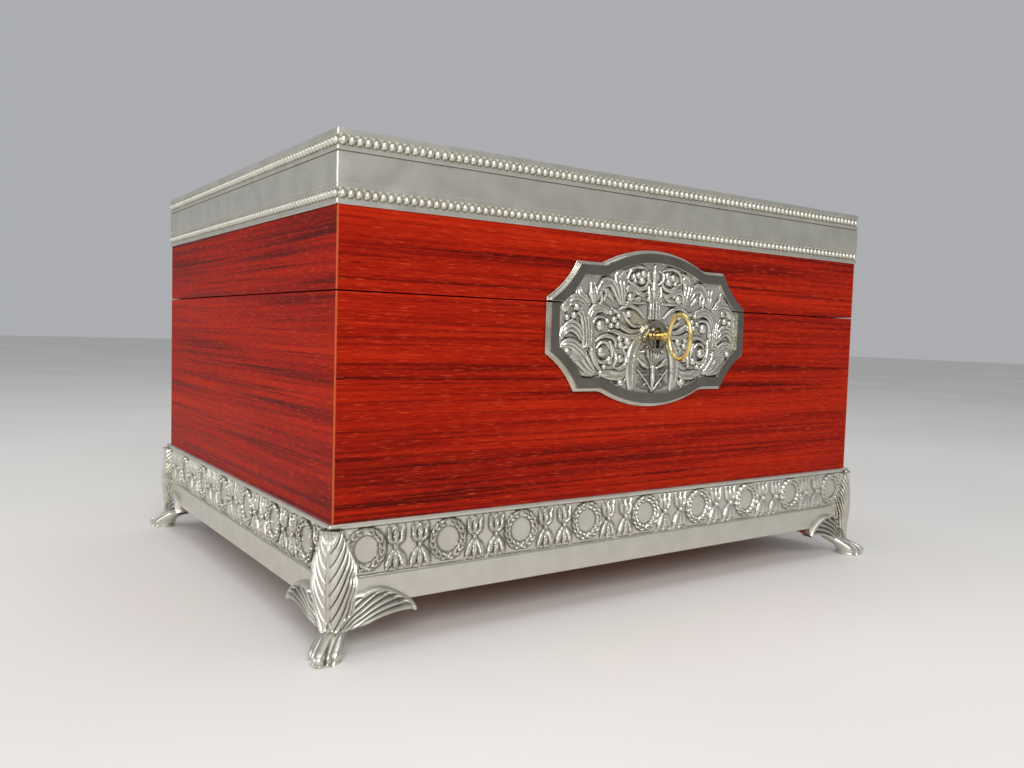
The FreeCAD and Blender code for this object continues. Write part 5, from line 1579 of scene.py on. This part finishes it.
@dataclass(frozen=True)
class CornerLeaf:
    """Veined leaf round the corner of a foot, with its two lower tips and the ankle behind them."""

    # Sections from the top down.
    table: tuple[Section, ...] = (
        (45.5, 4.7, 1.5), (44.9, 4.4, 1.2), (44.2, 4.1, 0.7), (42.5, 4.6, 0.5), (40.0, 5.5, 0.6),
        (37.5, 6.5, 0.8), (35.0, 7.3, 0.9), (32.0, 8.1, 1.1), (29.0, 8.5, 1.2), (26.0, 8.6, 1.2),
        (23.0, 8.5, 1.1), (20.0, 8.2, 0.8), (17.0, 7.6, 0.4), (14.5, 6.8, 0.2), (13.0, 6.2, 0.1),
        (11.0, 5.5, 0.1), (9.0, 4.9, 0.0), (8.0, 4.6, -0.3),
    )
    rows: int = 200
    columns: int = 240
    # Margin: its level, drop and turn of its tips, rise between two turns, and softness.
    foot: float = 12.2
    tip_drop: float = 3.4
    tip_turn: float = 0.3
    margin_rise: float = 5.0
    margin_turns: Point = (0.8, 2.2)
    margin_soft: float = 0.5
    # Turns between which the leaf runs out at the back, and how far the ankle lies under it.
    end_turns: Point = (1.9, 1.3)
    recess: float = 1.3
    # Rolled margin: height, distance above the margin, half width, and the turn where it stops.
    roll: float = 0.45
    roll_rise: float = 0.6
    roll_half: float = 0.4
    roll_turn: float = 1.6
    # Ribs: spacing, and their rise and curl away from the midrib.
    rib_pitch: float = 4.9
    rib_rise: float = 1.0
    rib_curl: float = 0.1
    # Double cords on the ribs: height, half distance, half width, and where they start beside the midrib.
    cord: float = 0.4
    cord_apart: float = 0.42
    cord_half: float = 0.22
    cord_start: Point = (0.5, 1.4)
    # Lobes between the ribs: depth, its growth away from the midrib and the end of that, and their lean.
    lobe: float = 0.6
    lobe_growth: float = 0.09
    lobe_reach: float = 11.0
    lobe_lean: float = 1.25
    # Flatter strip along the midrib: half width, and the least share of the lobes in it.
    strip_half: float = 1.1
    strip_least: float = 0.3
    # Midrib, and the furrow on each side of it.
    midrib: float = 0.35
    midrib_half: float = 0.3
    furrow: float = 0.25
    furrow_away: float = 0.8
    furrow_half: float = 0.4
    # Waves of the leaf's sides: height, level of the first, spacing, mean share, and where they start.
    wave: float = 0.7
    wave_foot: float = 20.0
    wave_pitch: float = 8.5
    wave_mean: float = 0.6
    wave_start: Point = (6.0, 9.0)
    # Hollow of the crown: foot, half width there and least, spread, height over which it deepens, and depth.
    crown_foot: float = 37.4
    crown_half: float = 0.2
    crown_least: float = 0.01
    crown_spread: float = 0.42
    crown_rise: float = 5.5
    crown_depth: float = 1.1
    # Flutes in the hollow, and its lip: height, distance, half width, and the rise over which it grows.
    flute: float = 0.22
    flute_pitch: float = 1.7
    lip: float = 0.35
    lip_away: float = 0.3
    lip_half: float = 0.4
    lip_rise: Point = (1.5, 4.5)
    # Tarnish: its share, reach in cells and depth of the hollows.
    tarnish: float = 0.75
    tarnish_reach: int = 5
    tarnish_depth: float = 0.7

    def ribs(self, level: np.ndarray, away: np.ndarray) -> np.ndarray:
        """Relief of bulging lobes between double cords that sweep up from a raised midrib.

        Args:
            level: Levels.
            away: Distances from the midrib round the leaf.

        Returns:
            Heights above the plain leaf.
        """
        slope = self.rib_rise + 2 * self.rib_curl * away
        phase = (level - self.rib_rise * away - self.rib_curl * away**2 - self.foot) / self.rib_pitch
        share = phase - np.floor(phase)
        cord = np.minimum(share, 1 - share) * self.rib_pitch / np.hypot(1, slope)
        lobe = self.lobe + self.lobe_growth * np.clip(away, 0, self.lobe_reach)
        bulge = np.sin(np.pi * share**self.lobe_lean) - 1
        heights = lobe * bulge * np.clip(away / self.strip_half, self.strip_least, 1)
        heights += self.cord * ridge(cord - self.cord_apart, self.cord_half) * fade(away, *self.cord_start)
        heights += self.midrib * ridge(away, self.midrib_half)
        heights -= self.furrow * ridge(away - self.furrow_away, self.furrow_half)
        wave = np.abs(np.sin(np.pi * (level - self.wave_foot) / self.wave_pitch)) - self.wave_mean
        return heights + self.wave * wave * fade(away, *self.wave_start)

    def crowned(self, heights: np.ndarray, level: np.ndarray, away: np.ndarray) -> np.ndarray:
        """Sink the fluted hollow of the crown into the relief.

        Args:
            heights: Heights of the ribbed leaf.
            level: Levels.
            away: Distances from the midrib round the leaf.

        Returns:
            Heights above the plain leaf.
        """
        rise = level - self.crown_foot
        half = np.clip(self.crown_half + self.crown_spread * rise, self.crown_least, None)
        inner = np.clip(1 - (away / half) ** 2, 0, 1) * fade(rise, 0, self.crown_rise)
        lip = self.lip * ridge(away - half - self.lip_away, self.lip_half) * fade(rise, *self.lip_rise)
        flutes = self.flute * np.cos(2 * math.pi * away / self.flute_pitch) - self.crown_depth
        return heights * (1 - np.clip(2 * inner, 0, 1)) + flutes * inner + lip

    def add(self, skin: Skin) -> None:
        """Add the leaf and the ankle.

        Args:
            skin: Mesh of the foot.
        """
        level, half, front = sections(self.table, self.rows)
        turn = np.linspace(-math.pi, math.pi, self.columns, endpoint=False)[None, :]
        side = np.abs(turn)
        away = half * side
        first, last = self.margin_turns
        margin = self.foot - self.tip_drop * np.sin(np.clip(side / self.tip_turn, 0, math.pi))
        margin += self.margin_rise * (np.clip(side, first, last) - first)
        on_leaf = fade(level - margin, 0, self.margin_soft) * fade(side, *self.end_turns)
        roll = self.roll * ridge(level - margin - self.roll_rise, self.roll_half) * (side < self.roll_turn)
        heights = self.crowned(self.ribs(level, away), level, away)
        relief = on_leaf * (heights + roll) - self.recess * (1 - on_leaf)
        out = half + relief
        x = front - half + out * np.cos(turn)
        y = out * np.sin(turn)
        shade = self.tarnish * hollows(relief, self.tarnish_reach, self.tarnish_depth)
        skin.grid(np.stack([x, y, np.repeat(level, self.columns, axis=1)], axis=-1), shade, closed=True)


@dataclass(frozen=True)
class Paw:
    """Paw of a foot, from the ankle to its sole, with clefts between its toes."""

    # Sections from the top down.
    table: tuple[Section, ...] = (
        (12.5, 3.6, -4.2), (11.0, 4.2, -2.9), (9.0, 4.7, -0.7), (7.5, 5.1, 1.8), (6.0, 5.5, 4.4),
        (4.6, 5.8, 6.6), (3.4, 6.0, 7.6), (2.2, 5.9, 8.1), (1.2, 5.7, 7.9), (0.8, 5.9, 8.3), (0.0, 5.8, 8.2),
    )
    rows: int = 70
    columns: int = 200
    half_length: float = 6.5
    # Clefts: turn in degrees and depth of each, half width in degrees, and the levels where they run out.
    clefts: tuple[Point, ...] = ((22.0, 1.4), (54.0, 0.9))
    cleft_half: float = 6.0
    cleft_top: Point = (9.0, 5.5)
    cleft_foot: Point = (-0.6, 0.8)
    # Middle toe: swell, its level and half height, the stand of the whole toe, and its reach over the cleft.
    toe: float = 1.9
    toe_level: float = 3.3
    toe_half: float = 2.6
    toe_proud: float = 0.2
    toe_reach: float = 4.0
    # Side toes: how far they stand back, and the degrees over which that starts and ends.
    side_back: float = 0.7
    side_start: float = 25.0
    side_end: Point = (80.0, 60.0)
    # Tarnish: its share, reach in cells and depth of the hollows.
    tarnish: float = 0.8
    tarnish_reach: int = 6
    tarnish_depth: float = 0.8
    # Size of the opening left in the middle of the sole, as a share.
    sole: float = 0.02

    def add(self, skin: Skin) -> None:
        """Add the paw.

        Args:
            skin: Mesh of the foot.
        """
        level, half, front = sections(self.table, self.rows)
        turn = np.linspace(-math.pi, math.pi, self.columns, endpoint=False)[None, :]
        side = np.degrees(np.abs(turn))
        low = fade(level, *self.cleft_top) * fade(level, *self.cleft_foot)
        relief = np.zeros((self.rows, self.columns))
        for middle, depth in self.clefts:
            relief -= depth * low * ridge(side - middle, self.cleft_half)
        inner = self.clefts[0][0]
        middle_toe = np.clip(1 - (side / (inner + self.toe_reach)) ** 2, 0, 1)
        relief += middle_toe * (self.toe * ridge(level - self.toe_level, self.toe_half) + self.toe_proud)
        side_toes = fade(side, inner, inner + self.side_start) * fade(side, *self.side_end)
        relief -= self.side_back * low * side_toes
        x = front - self.half_length + (self.half_length + relief) * np.cos(turn)
        y = (half + relief) * np.sin(turn)
        shade = np.clip(self.tarnish * hollows(relief, self.tarnish_reach, self.tarnish_depth), 0, 1)
        points = np.stack([x, y, np.repeat(level, self.columns, axis=1)], axis=-1)
        sole = points[:1] * (self.sole, self.sole, 1.0)
        skin.grid(np.concatenate([sole, points]), np.concatenate([shade[:1], shade]), closed=True)


@dataclass(frozen=True)
class Wing:
    """Wing of a foot along one side: slanting strands between a scalloped foot and a rolled rim."""

    # Distance from the corner and level of its edges.
    upper: tuple[Point, ...] = (
        (5.0, 21.2), (12.8, 22.6), (18.0, 23.5), (23.1, 22.7), (29.0, 19.6), (33.0, 16.4), (34.4, 14.0),
    )
    lower: tuple[Point, ...] = (
        (5.0, 8.6), (12.7, 10.2), (21.2, 12.2), (27.3, 13.2), (31.0, 13.3), (33.6, 12.9),
    )
    edge_step: float = 0.2
    columns: int = 150
    rows: int = 56
    # Strands: the point they spread from, degrees between them, their curl, and the distance without any.
    focus: Point = (-1.0, -2.0)
    strand_turn: float = 4.9
    strand_curl: float = 0.8
    strand_span: float = 20.0
    # Depth between the strands and their half width; the split along each gap.
    strand: float = 0.95
    strand_half: float = 0.25
    split: float = 0.2
    split_half: float = 0.07
    # Scallops of the foot: height, and how fast they fade upwards.
    scallop: float = 0.2
    scallop_power: int = 4
    # Least share of the relief at the foot, where it is full, and the height of wing that has all of it.
    foot_least: float = 0.25
    foot_soft: float = 0.1
    full_height: float = 6.0
    # Rolled rim: width, height, and softness of its inner edge.
    rim: float = 2.3
    roll: float = 1.1
    rim_soft: float = 0.4
    # Distances over which the wing grows out of the leaf, its thickness at the root, thickness and belly.
    root: Point = (7.0, 12.5)
    root_thick: float = 0.3
    thick: float = 1.2
    belly: float = 0.7
    # Front and back of the edges that turn in under the base.
    edge_front: float = 0.2
    inward: float = 4.0
    tarnish: float = 0.9

    def add(self, skin: Skin, hand: int) -> None:
        """Add the wing.

        Args:
            skin: Mesh of the foot.
            hand: 1 for the side on the left of the diagonal, -1 for the other.
        """
        edges = [path(edge, self.edge_step) for edge in (self.lower, self.upper)]
        foot, top = (
            np.stack([spread(edge[:, k], self.columns) for k in (0, 1)], axis=-1) for edge in edges
        )
        share = np.linspace(0, 1, self.rows)[:, None]
        flat = foot[None] * (1 - share[..., None]) + top[None] * share[..., None]
        along, level = flat[..., 0], flat[..., 1]
        below = np.hypot(top[None, :, 0] - along, top[None, :, 1] - level)
        reach, rise = along - self.focus[0], level - self.focus[1]
        curl = self.strand_curl * (np.hypot(reach, rise) - self.strand_span)
        phase = (np.degrees(np.arctan2(rise, reach)) + curl) / self.strand_turn
        apart = np.abs(phase - np.round(phase))
        strand = ridge(apart, self.strand_half)
        level = level - self.scallop * (strand - 0.5) * (1 - share) ** self.scallop_power
        tall = fade(top[None, :, 1] - foot[None, :, 1], 0, self.full_height)
        half_rim = self.rim / 2
        clear = fade(below, half_rim, half_rim + self.rim_soft)
        cut = self.strand * (strand - 1) - self.split * ridge(apart, self.split_half)
        relief = tall * clear * np.clip(share / self.foot_soft, self.foot_least, 1) * cut
        roll = self.roll * np.sqrt(np.clip(1 - ((below - half_rim) / half_rim) ** 2, 0, 1))
        swell = self.thick + self.belly * tall * np.sin(np.pi * share)
        out = self.root_thick + fade(along, *self.root) * (swell + relief + roll)
        back = np.full((1, self.columns), -self.inward)
        front = np.full((1, self.columns), self.edge_front)
        out = np.vstack([back, front, out, front, back])
        along, level = (
            np.vstack([plane[:1], plane[:1], plane, plane[-1:], plane[-1:]]) for plane in (along, level)
        )
        shade = np.pad(np.clip(-self.tarnish * relief, 0, 1), ((2, 2), (0, 0)))
        half = math.sqrt(0.5)
        points = np.stack([half * (out - along), hand * half * (out + along), level], axis=-1)
        skin.grid(points[::hand], shade[::hand])


@dataclass(frozen=True)
class Foot:
    """Cast foot: a leaf on the corner over a paw, a wing on each side, and a seat under the walls.

    The foot is drawn with the corner of the base at zero and the diagonal outwards along +X.
    """

    layout: Layout
    leaf: CornerLeaf = CornerLeaf()
    paw: Paw = Paw()
    wing: Wing = Wing()
    # Arms of the seat, and how far they stay under the base.
    seat_length: float = 31.0
    seat_width: float = 13.0
    seat_thick: float = 3.4
    seat_gap: float = 0.02
    # Name, signs of X and Y, and degrees of the diagonal of each corner.
    corners: tuple[tuple[str, int, int, float], ...] = (
        ("front_left", -1, -1, 225),
        ("front_right", 1, -1, 315),
        ("back_right", 1, 1, 45),
        ("back_left", -1, 1, 135),
    )

    def seat(self, skin: Skin) -> None:
        """Add the two flat arms under the walls.

        Args:
            skin: Mesh of the foot.
        """
        high = self.layout.foot_height
        half = math.sqrt(0.5)
        for hand in (-1, 1):
            for level in (high - self.seat_thick, high - self.seat_gap):
                along, across = np.meshgrid((0.0, self.seat_length), (0.0, self.seat_width))
                x = -half * (along + across)
                y = hand * half * (along - across)
                skin.grid(np.stack([x, y, np.full_like(x, level)], axis=-1))

    def build(self) -> None:
        """Show the four feet."""
        reach_x = self.layout.half_width + self.layout.rail_proud
        reach_y = self.layout.half_depth + self.layout.rail_proud
        for corner, sign_x, sign_y, degrees in self.corners:
            skin = Skin()
            self.leaf.add(skin)
            self.paw.add(skin)
            for hand in (-1, 1):
                self.wing.add(skin, hand)
            self.seat(skin)
            turn = Matrix.Rotation(math.radians(degrees), 4, "Z")
            skin.turned(turn, (sign_x * reach_x, sign_y * reach_y, 0))
            node = f"foot_{corner}"
            name = f"{node}_cast"
            publish(name, skin.mesh(name), Body.CASE, PEWTER_CAST, (node,), sharp=60.0)


@dataclass(frozen=True)
class Set:
    """Floor, soft studio light and the camera of the photograph."""

    floor_half: float = 6000.0
    # Camera of the photograph: place, angles in degrees, sensor width, and focal length as a share of it.
    camera: tuple[float, float, float] = (-269.798, -393.851, 116.632)
    azimuth: float = -34.973
    elevation: float = 3.461
    roll: float = 1.674
    sensor: float = 36.0
    focal_share: float = 856.55 / 1024
    clip_start: float = 10.0
    sky: str = "#e6e8ec"
    sky_strength: float = 0.52

    def build(self) -> None:
        """Make the floor, the lights and the camera."""
        self.floor()
        world = bpy.data.worlds.new("studio")
        world.use_nodes = True
        background = world.node_tree.nodes["Background"]
        background.inputs["Color"].default_value = linear(self.sky)
        background.inputs["Strength"].default_value = self.sky_strength
        bpy.context.scene.world = world
        self.softbox("key_light", place=(-520, -950, 620), aim=(-60, -60, 90), size=(700, 500), power=8.0)
        self.softbox("fill_light", place=(-1300, 200, 500), aim=(0, 0, 100), size=(800, 800), power=4.0)
        self.softbox("top_light", place=(0, -100, 1500), aim=(0, 0, 100), size=(1200, 1200), power=7.0)
        self.lens()
        bpy.context.scene.view_settings.view_transform = "Standard"

    def floor(self) -> None:
        """Make the plain pale floor."""
        skin = Skin()
        edge = np.array((-self.floor_half, self.floor_half))
        x, y = np.meshgrid(edge, edge)
        skin.grid(np.stack([x, y, np.zeros_like(x)], axis=-1))
        plane = bpy.data.objects.new("studio_floor", skin.mesh("studio_floor"))
        plane.data.materials.append(FLOOR.material())
        bpy.context.scene.collection.objects.link(plane)

    def softbox(
        self, name: str, place: Sequence[float], aim: Sequence[float], size: Point, power: float
    ) -> None:
        """Make a soft rectangular light.

        Args:
            name: Its name.
            place: Its place in millimetres.
            aim: What it points at.
            size: Its width and height in millimetres.
            power: Its power in watts.
        """
        data = bpy.data.lights.new(name, "AREA")
        data.shape = "RECTANGLE"
        data.size, data.size_y = size[0] * MM, size[1] * MM
        data.energy = power
        lamp = bpy.data.objects.new(name, data)
        bpy.context.scene.collection.objects.link(lamp)
        lamp.location = Vector(place) * MM
        lamp.rotation_euler = (Vector(aim) - Vector(place)).to_track_quat("-Z", "Y").to_euler()

    def lens(self) -> None:
        """Put the camera where the photograph was taken from."""
        data = bpy.data.cameras.new("photo_camera")
        data.sensor_width = self.sensor
        data.lens = self.sensor * self.focal_share
        data.clip_start = self.clip_start * MM
        camera = bpy.data.objects.new("photo_camera", data)
        bpy.context.scene.collection.objects.link(camera)
        azimuth, elevation = math.radians(self.azimuth), math.radians(self.elevation)
        outward = Vector((math.sin(azimuth), -math.cos(azimuth), 0))
        back = outward * math.cos(elevation) + Vector((0, 0, math.sin(elevation)))
        right = Vector((math.cos(azimuth), math.sin(azimuth), 0))
        level = Matrix((right, back.cross(right), back)).transposed().to_4x4()
        tilt = Matrix.Rotation(math.radians(self.roll), 4, "Z")
        camera.matrix_world = Matrix.Translation(Vector(self.camera) * MM) @ level @ tilt
        bpy.context.scene.camera = camera


def main() -> None:
    """Build the caddy and its set."""
    logging.basicConfig(level=logging.INFO, format="%(name)s: %(message)s")
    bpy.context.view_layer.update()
    layout = Layout.from_frame()
    Woodwork(layout).build()
    Brassware().build()
    BaseRails(layout).build()
    LidRim(layout).build()
    Escutcheon(layout).build()
    Foot(layout).build()
    Set().build()


if __name__ == "__main__":
    main()
